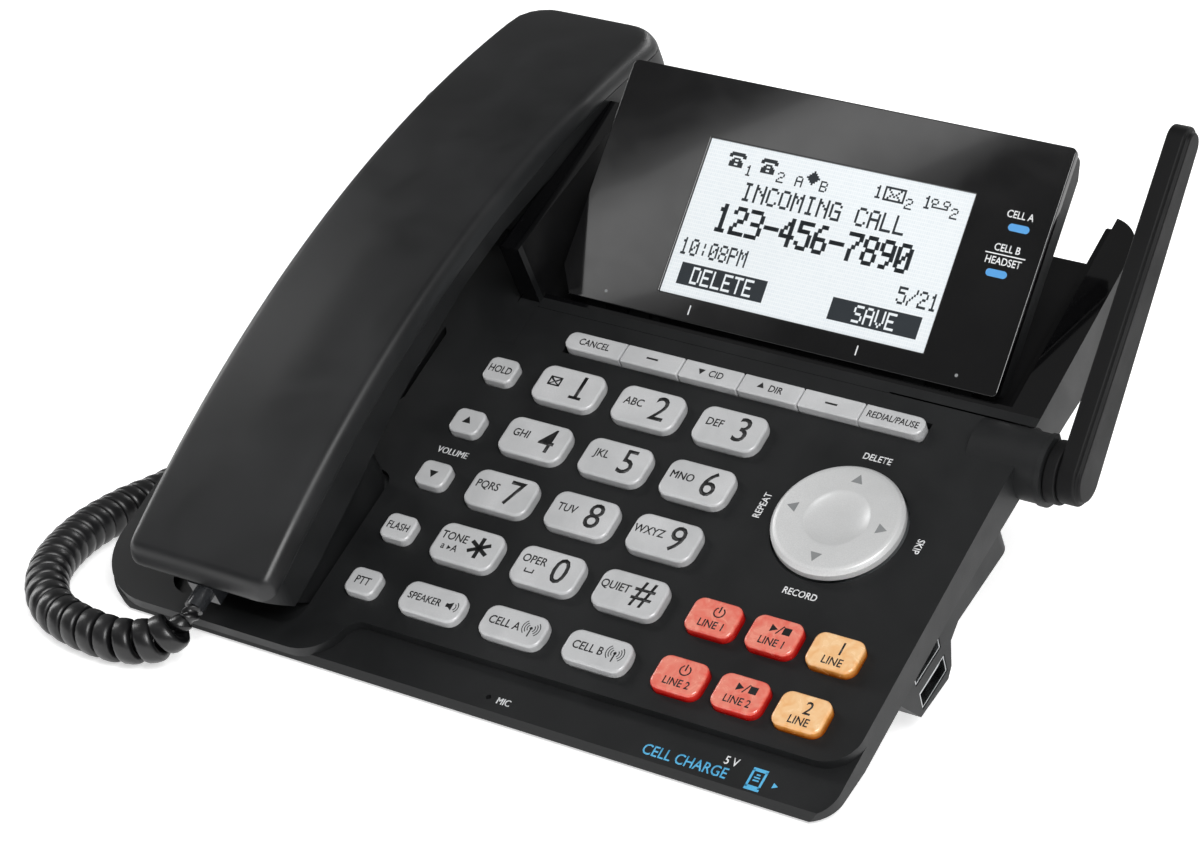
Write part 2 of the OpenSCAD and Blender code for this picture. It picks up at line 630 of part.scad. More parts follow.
function spline(a, b, c, d, t) = 0.5 * (2 * b + (c - a) * t + (2 * a - 5 * b + 4 * c - d) * t * t
    + (3 * b - a - 3 * c + d) * t * t * t);
function route_at(u) = let (n = len(cord_route) - 1, i = min(floor(u), n - 1), t = u - i)
    spline(cord_route[max(i - 1, 0)], cord_route[i], cord_route[i + 1],
        cord_route[min(i + 2, n)], t);
route_steps = 12 * (len(cord_route) - 1);
route_points = [for (i = [0:route_steps]) route_at(i / 12)];
route_lengths = [for (i = 0, s = 0; i <= route_steps; s = s + (i < route_steps
    ? norm(route_points[i + 1] - route_points[i]) : 0), i = i + 1) s];
cord_l = route_lengths[route_steps];
place_of = [for (i = [0:route_steps]) [route_lengths[i], i / 12]];
function along(s) = route_at(lookup(s, place_of));
function heading(s) = let (d = along(min(s + 0.4, cord_l)) - along(max(s - 0.4, 0))) d / norm(d);
function unit(v) = v / norm(v);

plain_l = [4, 16];
curls = floor((cord_l - plain_l[0] - plain_l[1]) / curl_pitch);
ring_step = curl_pitch / 8;
rings = round(cord_l / ring_step);
function curl_radius(s) = coil_r * min(1, max(0, (s - plain_l[0]) / curl_pitch))
    * min(1, max(0, (cord_l - plain_l[1] - s) / curl_pitch));
function curl_side(s) = unit(cross(heading(s), [6, 6, -5]));
function curl_point(s) = let (t = heading(s), n = curl_side(s), b = cross(t, n),
    a = 360 * (s - plain_l[0]) / curl_pitch)
    along(s) + curl_radius(s) * (cos(a) * n + sin(a) * b);
function ring_at(i) = let (s = cord_l * i / rings, e = 0.12,
    n = curl_side(s), b = cross(heading(s), n), a = 360 * (s - plain_l[0]) / curl_pitch,
    run = i < 3 || i > rings - 3 ? heading(s)
        : unit(curl_point(min(s + e, cord_l)) - curl_point(max(s - e, 0))),
    out = unit(cos(a) * n + sin(a) * b - ((cos(a) * n + sin(a) * b) * run) * run),
    side = cross(run, out), c = curl_point(s))
    [for (k = [0:5]) c + cord_size.y / 2 * cos(60 * k) * out + cord_size.x / 2 * sin(60 * k) * side];
ring_points = [for (i = [0:rings]) ring_at(i)];
cord_points = [for (r = ring_points) each r];
cord_faces = concat([[for (k = [0:5]) k]], [for (i = [0:rings - 1]) for (k = [0:5])
    each [[6 * i + k, 6 * i + 6 + k, 6 * i + 6 + (k + 1) % 6],
        [6 * i + k, 6 * i + 6 + (k + 1) % 6, 6 * i + (k + 1) % 6]]],
    [[for (k = [0:5]) 6 * rings + 5 - k]]);
cord_gap = min([for (i = [0:rings - 11]) for (j = [i + 5:i + 11]) for (p = ring_points[i])
    for (q = ring_points[j]) norm(p - q)]);

module handset_cord() {
    echo(curls = curls, cord_gap = cord_gap, cord_length = cord_l);
    color("#1b1b1c") polyhedron(cord_points, cord_faces, convexity = 10);
}

// plug body in its jack, with a short boot where the cord leaves
module plug_body() {
    translate([-3.8, 0, -3.3]) cube([7.6, 11, 6.6]);
    translate([0, -5, 0]) rotate([-90, 0, 0]) cylinder(r = 2.6, h = 5.5, $fn = 32);
}

module handset_plug() color("#2a2a2b") deck() translate([handset_x, plug_at.x, plug_at.y])
    plug_body();

module base_plug() color("#2a2a2b") deck() translate([base_left, jack_at.x, jack_at.y])
    rotate([0, 0, -90]) plug_body();

for (k = KEYS) key(k);
nav_boss();
nav_disc();
top_cover();
bottom_cover();
desk_stand();
display_well();
display_lens();
display_shell();
lcd_panel();
display_hinge_pins();
antenna_hub();
antenna_paddle();
handset_upper();
handset_lower();
handset_receiver();
handset_microphone();
hook_switch();
loudspeaker();
main_board();
keypad_membrane();
rubber_feet();
cover_screws();
handset_cord();
handset_plug();
base_plug();
usb_ports();
line_jacks();
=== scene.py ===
# %% [markdown]
# # A desk telephone with an answering system
#
# The measured model arrives as a frame: every key, shell and cord already sits at its real place,
# in metres. This notebook gives it soft edges, printed legends, a lit screen and real finishes.

# %% Load the frame
import json
import math

import bpy
import bmesh
from mathutils import Matrix, Vector

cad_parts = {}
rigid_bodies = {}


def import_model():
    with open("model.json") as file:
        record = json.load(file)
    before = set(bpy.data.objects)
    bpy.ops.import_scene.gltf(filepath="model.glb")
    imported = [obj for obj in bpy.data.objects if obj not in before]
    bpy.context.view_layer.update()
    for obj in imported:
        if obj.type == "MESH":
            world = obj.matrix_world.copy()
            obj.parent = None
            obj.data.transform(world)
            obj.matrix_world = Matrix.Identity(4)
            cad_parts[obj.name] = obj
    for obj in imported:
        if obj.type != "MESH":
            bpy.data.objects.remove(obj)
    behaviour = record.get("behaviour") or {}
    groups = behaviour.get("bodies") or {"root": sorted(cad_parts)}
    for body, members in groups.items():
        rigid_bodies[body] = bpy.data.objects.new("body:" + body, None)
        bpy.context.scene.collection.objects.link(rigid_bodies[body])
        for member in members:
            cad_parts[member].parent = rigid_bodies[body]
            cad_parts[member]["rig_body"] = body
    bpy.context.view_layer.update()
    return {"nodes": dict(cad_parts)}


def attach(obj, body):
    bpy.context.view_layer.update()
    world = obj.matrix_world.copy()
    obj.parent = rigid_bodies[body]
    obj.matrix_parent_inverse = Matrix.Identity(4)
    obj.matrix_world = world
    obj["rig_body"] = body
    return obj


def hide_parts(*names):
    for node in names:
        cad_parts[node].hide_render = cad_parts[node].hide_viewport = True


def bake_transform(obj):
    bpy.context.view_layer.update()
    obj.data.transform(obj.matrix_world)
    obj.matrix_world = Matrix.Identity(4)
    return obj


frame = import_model()
nodes = frame["nodes"]

# %% [markdown]
# ## Two handy sets of axes
#
# The keys stand on a deck that slopes, and the screen tilts once more on top of that. Working in
# the deck's own millimetres is far easier than in world metres, so each set of axes is a matrix
# that carries local millimetres to world metres: x across, y up the slope, z out of the surface.

# %% Deck and display axes
MM = 0.001
TILT = math.radians(28.85)
DECK = (Matrix.Translation((0, -89.46 * MM, 5 * MM)) @ Matrix.Rotation(TILT, 4, "X")
        @ Matrix.Scale(MM, 4))
DISPLAY = DECK @ Matrix.Translation((0, 124.8, 1.5)) @ Matrix.Rotation(math.radians(23.97), 4, "X")
to_deck = DECK.inverted()
facing = to_deck.to_3x3()

# the dial keys' grid, the disc's centre and the height of a cap's top and foot, in deck millimetres
PITCH_X, PITCH_Y = 24.0, 17.87
ROW_Y = [96 - PITCH_Y * i for i in range(5)]
DIAL_X = [2.8 + PITCH_X * i for i in (-1, 0, 1)]
NAV_X, NAV_Y = 66.6, ROW_Y[1]
CAP_TOP, CAP_FOOT = 2.35, -1.2
print("deck origin", tuple(round(v, 4) for v in DECK.translation))

# %% [markdown]
# ## Camera
#
# A long lens from the front right keeps the key rows nearly parallel, as a catalogue picture does.
# Its place was solved from the grid of dial keys, so we type it in as found.

# %% Camera
lens = bpy.data.cameras.new("camera")
lens.lens = 108.18
lens.sensor_width = 36
lens.sensor_fit = "HORIZONTAL"
camera = bpy.data.objects.new("camera", lens)
camera.location = (0.4384, -0.7173, 0.4293)
camera.rotation_euler = (math.radians(65.49), 0, math.radians(32.33))
bpy.context.scene.collection.objects.link(camera)
bpy.context.scene.camera = camera
bpy.context.scene.view_settings.view_transform = "Standard"
print("camera", tuple(camera.location), "lens", lens.lens)

# %% [markdown]
# ## Colours and nodes
#
# Colours are picked as screen hex values, which hold a gamma curve, and shaders want linear light.
# One function converts them. Another adds any shader node with its settings and its links, so a
# material reads as a short recipe.

# %% Helpers for materials
def tone(code):
    channels = [int(code[i:i + 2], 16) / 255 for i in (1, 3, 5)]
    return tuple(c / 12.92 if c <= 0.04045 else ((c + 0.055) / 1.055) ** 2.4
                 for c in channels) + (1.0,)


def add(tree, kind, inputs=None, **settings):
    made = tree.nodes.new(kind)
    for name, value in settings.items():
        setattr(made, name, value)
    for name, value in (inputs or {}).items():
        if isinstance(value, bpy.types.NodeSocket):
            tree.links.new(value, made.inputs[name])
        else:
            made.inputs[name].default_value = value
    return made


def blank(name):
    """A new material, its node tree, its surface shader and its object coordinates."""
    made = bpy.data.materials.new(name)
    made.use_nodes = True
    tree = made.node_tree
    shader = next(n for n in tree.nodes if n.type == "BSDF_PRINCIPLED")
    return made, tree, shader, add(tree, "ShaderNodeTexCoord").outputs["Object"]


# %% [markdown]
# ## Moulded plastic
#
# Telephone shells are injection moulded ABS. The steel mould is spark eroded, which leaves a skin
# of tiny pits about a third of a millimetre apart that scatters light and turns black to charcoal.
# Polished areas of the mould give glossy lids. Both come from one recipe: fine noise for the pits,
# broad noise for handling marks in colour and roughness.

# %% Moulded plastic recipe
def moulded(name, dark, light, roughness, pit_mm=0.35, pit_depth=0.02, blotch_mm=22.0,
            smear=0.07, metallic=0.0, ior=1.53, coat=0.0, specular=0.5):
    made, tree, shader, place = blank(name)
    pits = add(tree, "ShaderNodeTexNoise",
               {"Vector": place, "Scale": 1 / (pit_mm * MM), "Detail": 3.0, "Roughness": 0.6})
    marks = add(tree, "ShaderNodeTexNoise",
                {"Vector": place, "Scale": 1 / (blotch_mm * MM), "Detail": 5.0,
                 "Roughness": 0.55, "Distortion": 0.4})
    spread = add(tree, "ShaderNodeMapRange",
                 {"Value": marks.outputs["Fac"], "From Min": 0.3, "From Max": 0.7})
    grain = add(tree, "ShaderNodeMath",
                {0: spread.outputs["Result"], 1: pits.outputs["Fac"]}, operation="MULTIPLY")
    colour = add(tree, "ShaderNodeMix", {"Factor": grain.outputs[0]}, data_type="RGBA")
    colour.inputs[6].default_value = tone(dark)
    colour.inputs[7].default_value = tone(light)
    tree.links.new(colour.outputs[2], shader.inputs["Base Color"])
    rough = add(tree, "ShaderNodeMapRange",
                {"Value": marks.outputs["Fac"], "From Min": 0.3, "From Max": 0.7,
                 "To Min": roughness - smear, "To Max": roughness + smear})
    tree.links.new(rough.outputs["Result"], shader.inputs["Roughness"])
    bump = add(tree, "ShaderNodeBump",
               {"Height": pits.outputs["Fac"], "Strength": 0.5, "Distance": pit_depth * MM})
    tree.links.new(bump.outputs["Normal"], shader.inputs["Normal"])
    shader.inputs["Metallic"].default_value = metallic
    shader.inputs["IOR"].default_value = ior
    shader.inputs["Coat Weight"].default_value = coat
    shader.inputs["Specular IOR Level"].default_value = specular
    return made


# spark-eroded ABS: charcoal, soft highlight
abs_black = moulded("abs_spark_eroded_black", "#101112", "#202122", 0.52, pit_depth=0.03,
                    specular=0.3)
# the handset's ABS is a touch smoother from handling
abs_handset = moulded("abs_handset_black", "#0e0f10", "#1c1d1f", 0.42, pit_depth=0.02)
# the antenna's ABS is matt and darker than the other black parts
abs_antenna = moulded("abs_antenna_black", "#070708", "#101011", 0.6, pit_mm=0.3, pit_depth=0.02,
                      specular=0.2)
# the lower shell and stand are a coarser, greyer ABS
abs_lower = moulded("abs_lower_charcoal", "#121314", "#232426", 0.58, pit_mm=0.5, pit_depth=0.04,
                    specular=0.3)
# high-gloss ABS: deep black with clear reflections and faint smears
abs_gloss = moulded("abs_high_gloss_black", "#040405", "#09090a", 0.09, pit_depth=0.001,
                    smear=0.03, coat=0.2)
# silver paint over ABS: metal flakes show as fine grain under a satin lacquer
paint_silver = moulded("silver_paint_satin", "#b9babb", "#dededf", 0.32, pit_mm=0.24,
                       pit_depth=0.015, blotch_mm=16.0, smear=0.03, metallic=0.08)
# the disc wears a paler coat of the same paint, with coarser flakes
paint_pale = moulded("silver_paint_pale", "#bdbebe", "#f4f4f4", 0.36, pit_mm=0.26,
                     pit_depth=0.03, blotch_mm=60.0, smear=0.02, metallic=0.2)
# inside of the recess: matt skin that hardly reflects, its near-black colour painted shade
abs_recess_painted_shade = moulded("abs_recess_painted_shade_black", "#040405", "#0a0a0b", 0.62, pit_depth=0.02,
                     specular=0.2)
steel = moulded("zinc_plated_steel", "#8d9093", "#c4c7c9", 0.28, pit_mm=0.4, blotch_mm=4.0,
                metallic=1.0, ior=1.5)
tin = moulded("nickel_socket_shell", "#a3a6a8", "#d9dbdc", 0.22, pit_mm=0.6, blotch_mm=5.0,
              metallic=1.0, ior=1.5)
rubber = moulded("silicone_rubber_black", "#101011", "#1f1f20", 0.72, pit_mm=0.8, pit_depth=0.05)
mat_grey = moulded("silicone_key_mat_grey", "#7b7f81", "#989c9e", 0.6, pit_mm=0.9, pit_depth=0.04)
fibreglass = moulded("fibreglass_board_green", "#0f3b22", "#1c5a35", 0.35, pit_mm=1.1,
                     pit_depth=0.03, blotch_mm=7.0)
cone_paper = moulded("speaker_paper_cone", "#2c2d2f", "#4b4c4e", 0.85, pit_mm=1.2, pit_depth=0.1)
vinyl = moulded("cord_vinyl_black", "#0b0b0c", "#1c1c1e", 0.36, pit_mm=0.9, pit_depth=0.02,
                blotch_mm=11.0)
clear_plug = moulded("plug_polycarbonate_smoke", "#1b1c1e", "#36383b", 0.2, pit_mm=0.8,
                     pit_depth=0.01)
ink_black = moulded("pad_print_black", "#0c0c0d", "#1a1a1b", 0.45, pit_mm=0.2, pit_depth=0.01)
ink_white = moulded("pad_print_white", "#d9dadb", "#f4f5f6", 0.5, pit_mm=0.2, pit_depth=0.01)
ink_blue = moulded("pad_print_blue", "#3d9fd0", "#6cc3ea", 0.5, pit_mm=0.2, pit_depth=0.01)
ink_grey = moulded("pad_print_grey", "#7d7f80", "#939596", 0.5, pit_mm=0.2, pit_depth=0.01)
print(len(bpy.data.materials), "materials so far")

# %% [markdown]
# ## Translucent keys
#
# The answering keys are moulded in tinted polycarbonate over a hollow. Light gathers in their
# thick rims, which look saturated, while the thin top looks pale and milky. That light is painted
# into the colour, deep in the rims and pale on top, partly the tint's own depth in thick plastic,
# and the same colour feeds a faint emission, a painted glow, though the keys are no lamps. Height
# above the deck tells rim from top, so a Mapping node turns the object coordinates upright to the
# deck and a ramp reads the height.

# %% Translucent key recipe
def tinted(name, rim, body, top, glow):
    made, tree, shader, place = blank(name)
    upright = add(tree, "ShaderNodeMapping", {"Vector": place}, vector_type="TEXTURE")
    upright.inputs["Location"].default_value = DECK.translation
    upright.inputs["Rotation"].default_value = (TILT, 0, 0)
    height = add(tree, "ShaderNodeSeparateXYZ", {"Vector": upright.outputs["Vector"]})
    clouds = add(tree, "ShaderNodeTexNoise", {"Vector": place, "Scale": 1 / (3.2 * MM),
                                              "Detail": 3.0, "Distortion": 0.8})
    wobble = add(tree, "ShaderNodeMath", {0: clouds.outputs["Fac"], 1: 1.7 * MM, 2: -0.85 * MM},
                 operation="MULTIPLY_ADD")
    level = add(tree, "ShaderNodeMath", {0: height.outputs["Z"], 1: wobble.outputs[0]})
    band = add(tree, "ShaderNodeMapRange",
               {"Value": level.outputs[0], "From Min": 0.2 * MM, "From Max": 2.6 * MM})
    ramp = add(tree, "ShaderNodeValToRGB", {"Fac": band.outputs["Result"]})
    stops = ramp.color_ramp.elements
    stops[0].color = tone(rim)
    stops[1].color = tone(top)
    middle = stops.new(0.55)
    middle.color = tone(body)
    tree.links.new(ramp.outputs["Color"], shader.inputs["Base Color"])
    # the ramp's colour also feeds the emission: a painted glow on the keys, the own light of the
    # lamp windows
    tree.links.new(ramp.outputs["Color"], shader.inputs["Emission Color"])
    rough = add(tree, "ShaderNodeMapRange", {"Value": clouds.outputs["Fac"], "To Min": 0.16,
                                             "To Max": 0.34})
    tree.links.new(rough.outputs["Result"], shader.inputs["Roughness"])
    shader.inputs["Emission Strength"].default_value = glow
    shader.inputs["IOR"].default_value = 1.58
    shader.inputs["Coat Weight"].default_value = 0.4
    return made


tint_red = tinted("polycarbonate_red", "#a30d0b", "#cc2a20", "#d98472", 0.16)
tint_amber = tinted("polycarbonate_amber", "#a8540f", "#dd9445", "#ecc494", 0.08)
print("tinted", tint_red.name, tint_amber.name)

# %% [markdown]
# ## The screen and its two lamps
#
# A positive liquid crystal shows dark dots on a lit sheet. The sheet glows because a film behind
# it spreads the light of a few diodes, a little brighter in the middle. The faint grid of unlit
# dots is drawn by a brick pattern at the dots' own pitch.

# %% Screen and lamp materials
def backlit(name):
    made, tree, shader, place = blank(name)
    cells = add(tree, "ShaderNodeTexBrick",
                {"Vector": place, "Scale": 1.0, "Mortar Size": 0.00006, "Brick Width": 0.00062,
                 "Row Height": 0.00062}, offset=0.0)
    cells.inputs["Color1"].default_value = tone("#e9eff2")
    cells.inputs["Color2"].default_value = tone("#e4ebef")
    cells.inputs["Mortar"].default_value = tone("#f2f6f8")
    haze = add(tree, "ShaderNodeTexNoise", {"Vector": place, "Scale": 18.0, "Detail": 1.0})
    light = add(tree, "ShaderNodeMapRange",
                {"Value": haze.outputs["Fac"], "To Min": 0.5, "To Max": 0.66})
    shaded = add(tree, "ShaderNodeHueSaturation", {"Color": cells.outputs["Color"], "Value": 0.42})
    tree.links.new(shaded.outputs["Color"], shader.inputs["Base Color"])
    tree.links.new(cells.outputs["Color"], shader.inputs["Emission Color"])
    tree.links.new(light.outputs["Result"], shader.inputs["Emission Strength"])
    shader.inputs["Roughness"].default_value = 0.3
    return made


lcd_lit = backlit("liquid_crystal_backlit")
lcd_ink = moulded("liquid_crystal_dark_dots", "#1d2328", "#2b3238", 0.35, pit_mm=0.3,
                  pit_depth=0.002)
lamp_blue = tinted("lamp_window_blue", "#2f6a9c", "#3c7cb2", "#4a8cc4", 0.3)
print("screen", lcd_lit.name)

# %% [markdown]
# ## Dressing the solids
#
# Every solid gets the finish of the part it stands for. Later cells replace some solids with a
# softer copy, which takes over the same finish.

# %% Finish of each solid
KEY_INK = {"key_line": tint_red, "key_amber": tint_amber, "key_": paint_silver,
           "func_key": paint_silver, "nav_disc": paint_pale}
FINISH = {
    "top_cover": abs_black, "bottom_cover": abs_lower, "desk_stand": abs_lower,
    "display_well": abs_gloss, "display_lens": abs_gloss, "display_shell": abs_black,
    "lcd_panel": lcd_lit, "display_hinge_pins": steel, "antenna_hub": abs_antenna,
    "antenna_paddle": abs_antenna, "handset_upper": abs_handset, "handset_lower": abs_black,
    "handset_receiver": abs_gloss, "handset_microphone": abs_gloss, "hook_switch": abs_lower,
    "loudspeaker": cone_paper, "main_board": fibreglass, "keypad_membrane": mat_grey,
    "rubber_feet": rubber, "cover_screws": steel, "handset_cord": vinyl,
    "handset_plug": clear_plug, "base_plug": clear_plug, "usb_ports": tin,
    "line_jacks": abs_lower, "nav_boss": abs_lower,
}


def finish_of(name):
    for start, made in KEY_INK.items():
        if name.startswith(start):
            return made
    return FINISH[name]


def dress(piece, made):
    piece.data.materials.clear()
    piece.data.materials.append(made)


for name, solid in nodes.items():
    dress(solid, finish_of(name))
print("dressed", len(nodes))

# %% [markdown]
# ## Softened edges
#
# Nothing moulded has a knife edge: the tool leaves a radius of a few tenths, and that radius
# catches a thin line of light which tells the eye where one part ends. The solids arrive as loose
# triangles, so a copy is merged, its flat triangles are joined back into faces, and a Bevel
# modifier rounds every sharp edge.

# %% Softened copies of solids
def alone(piece):
    """Makes piece the one selected and active object."""
    if bpy.context.object and bpy.context.object.mode == "EDIT":
        bpy.ops.object.mode_set(mode="OBJECT")
    bpy.ops.object.select_all(action="DESELECT")
    piece.select_set(True)
    bpy.context.view_layer.objects.active = piece


def open_mesh(action="SELECT"):
    """Enters edit mode with all of the active mesh selected, or with nothing."""
    bpy.ops.object.mode_set(mode="EDIT")
    bpy.ops.mesh.select_all(action=action)


def close_mesh():
    bpy.ops.object.mode_set(mode="OBJECT")


def apply_all(piece):
    alone(piece)
    for modifier in list(piece.modifiers):
        bpy.ops.object.modifier_apply(modifier=modifier.name)


def settle(piece, body, made):
    """Smooths and dresses a finished piece, and makes it ride on its body."""
    alone(piece)
    bpy.ops.object.shade_smooth_by_angle(angle=math.radians(30))
    even = piece.modifiers.new("even", "WEIGHTED_NORMAL")
    even.keep_sharp = True
    apply_all(piece)
    dress(piece, made)
    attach(piece, body)


def cut(piece, low, high, tip=0.0):
    """Takes a block out of a piece: two corners in deck millimetres, tipped about x."""
    bpy.ops.mesh.primitive_cube_add(size=1)
    block = bpy.context.object
    middle = [(a + b) / 2 for a, b in zip(low, high)]
    spans = [b - a for a, b in zip(low, high)] + [1]
    block.data.transform(DECK @ Matrix.Translation(middle)
                         @ Matrix.Rotation(math.radians(tip), 4, "X") @ Matrix.Diagonal(spans))
    taken = piece.modifiers.new("cut", "BOOLEAN")
    taken.operation = "DIFFERENCE"
    taken.object = block
    taken.solver = "EXACT"
    apply_all(piece)
    bpy.data.objects.remove(block)


def soften(name, radius_mm, segments, shape=None):
    """Replaces a solid by a copy that is shaped, if asked, and bevelled along its sharp edges."""
    solid = nodes[name]
    copy = bpy.data.objects.new(name + "_soft", solid.data.copy())
    bpy.context.scene.collection.objects.link(copy)
    alone(copy)
    open_mesh()
    bpy.ops.mesh.remove_doubles(threshold=0.004 * MM)
    bpy.ops.mesh.dissolve_limited(angle_limit=math.radians(1.5))
    close_mesh()
    if shape:
        shape(copy)
    bevel = copy.modifiers.new("edge", "BEVEL")
    bevel.width = radius_mm * MM
    bevel.segments = segments
    bevel.limit_method = "ANGLE"
    bevel.angle_limit = math.radians(32)
    apply_all(copy)
    settle(copy, solid["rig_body"], finish_of(name))
    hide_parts(name)
    return copy


SOFT = (("display_lens", 0.35, 3), ("antenna_paddle", 0.9, 3), ("antenna_hub", 0.4, 3),
        ("display_shell", 0.5, 3), ("top_cover", 0.3, 2), ("bottom_cover", 0.3, 2))
for name, radius, segments in SOFT:
    soften(name, radius, segments)
print("softened", len(SOFT))

# %% [markdown]
# ## Key caps
#
# A key cap is a low pillow: upright corners with a generous radius, then a rounded shoulder about
# a millimetre wide that catches the light all round the flat top. Each cap is measured from its
# solid, made as a box, and bevelled twice: first the four upright edges, then the top's rim.

# %% Make the caps
def cap_shape(name):
    """Corner radius and shoulder radius in millimetres."""
    if name.startswith("func_key"):
        return (2.4, 0.55) if name in ("func_key_1", "func_key_6") else (0.5, 0.5)
    if name.startswith(("key_hold", "key_flash", "key_ptt", "key_volume")):
        return 2.1, 0.7
    return (2.6, 0.75) if name.startswith(("key_line", "key_amber")) else (3.1, 0.75)


def bevel_edges(piece, radius, segments, wanted):
    """Bevels the edges whose two ends, in the cap's own millimetres, meet a rule."""
    alone(piece)
    open_mesh("DESELECT")
    bpy.ops.mesh.select_mode(type="EDGE")
    mesh = bmesh.from_edit_mesh(piece.data)
    for edge in mesh.edges:
        edge.select = wanted(edge.verts[0].co, edge.verts[1].co)
    bmesh.update_edit_mesh(piece.data)
    bpy.ops.mesh.bevel(offset=radius, segments=segments, profile=0.5)
    bpy.ops.mesh.select_mode(type="VERT")
    close_mesh()


caps = 0
for name, solid in nodes.items():
    if not name.startswith(("key_", "func_key")) or name == "keypad_membrane":
        continue
    high = [q for q in (to_deck @ v.co for v in solid.data.vertices) if q.z > 0.5]
    x0, x1 = min(q.x for q in high), max(q.x for q in high)
    y0, y1 = min(q.y for q in high), max(q.y for q in high)
    bpy.ops.mesh.primitive_cube_add(size=1)
    cap = bpy.context.object
    cap.name = name + "_cap"
    cap.data.transform(Matrix.Translation((0, 0, (CAP_TOP + CAP_FOOT) / 2))
                       @ Matrix.Diagonal((x1 - x0, y1 - y0, CAP_TOP - CAP_FOOT, 1)))
    corner, shoulder = cap_shape(name)
    outer = -1 if name == "func_key_1" else 1
    one_end = name in ("func_key_1", "func_key_6")
    bevel_edges(cap, corner, 6, lambda a, b: abs(a.z - b.z) > 1
                and (not one_end or a.x * outer > 0))
    bevel_edges(cap, shoulder, 4, lambda a, b: a.z > CAP_TOP - 0.01 and b.z > CAP_TOP - 0.01)
    cap.data.transform(DECK @ Matrix.Translation(((x0 + x1) / 2, (y0 + y1) / 2, 0)))
    settle(cap, solid["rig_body"], finish_of(name))
    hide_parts(name)
    caps += 1
print("caps", caps)

# %% [markdown]
# ## The recess behind the screen
#
# The photograph shows the recess in deep shadow. The wall beside the handset starts where the
# recess starts, so its front end is cut back there. Faces that look into the recess get a matt
# near-black finish whose darkness is painted shade for that deep shadow, and the strip of deck in
# front of them matches the upper shell.

# %% Cut the wall and dress the recess
RECESS_X, RECESS_Y, WALL_FRONT = (-44.8, 92.0), 124.3, 121.0
NEAR = 0.4  # faces this close to the recess's edge count as in it, mm


def trim_wall(piece):
    cut(piece, (-52, 104, 0.06), (RECESS_X[0] + 0.1, WALL_FRONT, 24))
    alone(piece)
    open_mesh()
    bpy.ops.mesh.bisect(plane_co=DECK @ Vector((0, RECESS_Y - 1.4, 0)),
                        plane_no=DECK.to_3x3().normalized() @ Vector((0, 1, 0)))
    close_mesh()


well = soften("display_well", 0.3, 2, shape=trim_wall)
well.data.materials.append(abs_recess_painted_shade)
well.data.materials.append(abs_black)
# faces inside the recess take the near-black painted shade; the deck strip and outward faces take
# the charcoal ABS
for face in well.data.polygons:
    c, n = to_deck @ face.center, (facing @ face.normal).normalized()
    inside = RECESS_X[0] - NEAR < c.x < RECESS_X[1] + NEAR and c.y > RECESS_Y - NEAR
    if inside and (c.z < -NEAR or c.x < RECESS_X[0] + NEAR):
        face.material_index = 1
    elif c.y < RECESS_Y - 1.3 and abs(c.z) < 0.3 or n.x > 0.8:
        face.material_index = 2
print("recess faces", sum(f.material_index == 1 for f in well.data.polygons))

# %% [markdown]
# ## The handset
#
# The handset's back is one long arched plate, broad and flat, that falls steeply to its parting
# line all the way round. Its height over that line depends only on the distance to the edge, so a
# grid is laid over the plan, crowded near the edges, and each point is lifted by that rule. The
# lower half is undercut at its front end, where the cord goes in.

# %% Back plate of the handset
HANDSET_X, HANDSET_Y, HALF_W = -74.2, (3.0, 213.0), 23.0
SEAM_C, SEAM_R = (93.0, 28.1 - 333.0), 333.0
# distance to the edge and height over the parting line
RISE = ((0, 0.3), (0.15, 1.3), (0.7, 2.9), (1.3, 3.9), (1.9, 4.5), (2.6, 4.85), (3.6, 5.0),
        (HALF_W, 5.7))
# where the grid's lines lie, counted from an edge
STOPS = [0, 0.08, 0.2, 0.45, 0.8, 1.2, 1.6, 2.1, 2.7, 3.6, 5.5, 8.5, 13, 18]


def rise(d):
    for (d0, h0), (d1, h1) in zip(RISE, RISE[1:]):
        if d <= d1:
            return h0 + (h1 - h0) * max(0.0, d - d0) / (d1 - d0)
    return RISE[-1][1]


def corner_radius(y):
    """The plan's corners: smaller in front than at the back."""
    return 4.5 if y < 100 else 11.0


def half_width(y):
    r = corner_radius(y)
    e = min(y - HANDSET_Y[0], HANDSET_Y[1] - y)
    return HALF_W - (r - math.sqrt(max(0.0, r * r - max(0.0, r - e) ** 2)))


def edge_distance(x, y):
    r = corner_radius(y)
    a, b = HALF_W - abs(x), min(y - HANDSET_Y[0], HANDSET_Y[1] - y)
    if a < r and b < r:
        return r - math.hypot(r - a, r - b)
    return min(a, b)


row_y = ([HANDSET_Y[0] + e for e in STOPS] + [HANDSET_Y[0] + 24 + 6.0 * i for i in range(28)]
         + [HANDSET_Y[1] - e for e in reversed(STOPS)])
insets = STOPS + [HALF_W] + list(reversed(STOPS))
across, down = len(insets) - 1, len(row_y) - 1
bpy.ops.mesh.primitive_grid_add(x_subdivisions=across, y_subdivisions=down, size=2)
back = bpy.context.object
back.name = "handset_back"
open_mesh()
bpy.ops.mesh.extrude_region_move(TRANSFORM_OT_translate={"value": (0, 0, 1)})
close_mesh()
for v in back.data.vertices:
    column, row = round((v.co.x + 1) / 2 * across), round((v.co.y + 1) / 2 * down)
    y = row_y[row]
    x = half_width(y) * (1 - insets[column] / HALF_W) * (1 if column > across / 2 else -1)
    seam_z = SEAM_C[1] + math.sqrt(SEAM_R ** 2 - (y - SEAM_C[0]) ** 2)
    lift = rise(max(0.0, edge_distance(x, y))) if v.co.z > 0.5 else 0.15
    v.co = DECK @ Vector((HANDSET_X + x, y, seam_z + lift))
alone(back)
open_mesh()
bpy.ops.mesh.normals_make_consistent(inside=False)
close_mesh()
settle(back, "handset", abs_handset)
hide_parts("handset_upper")
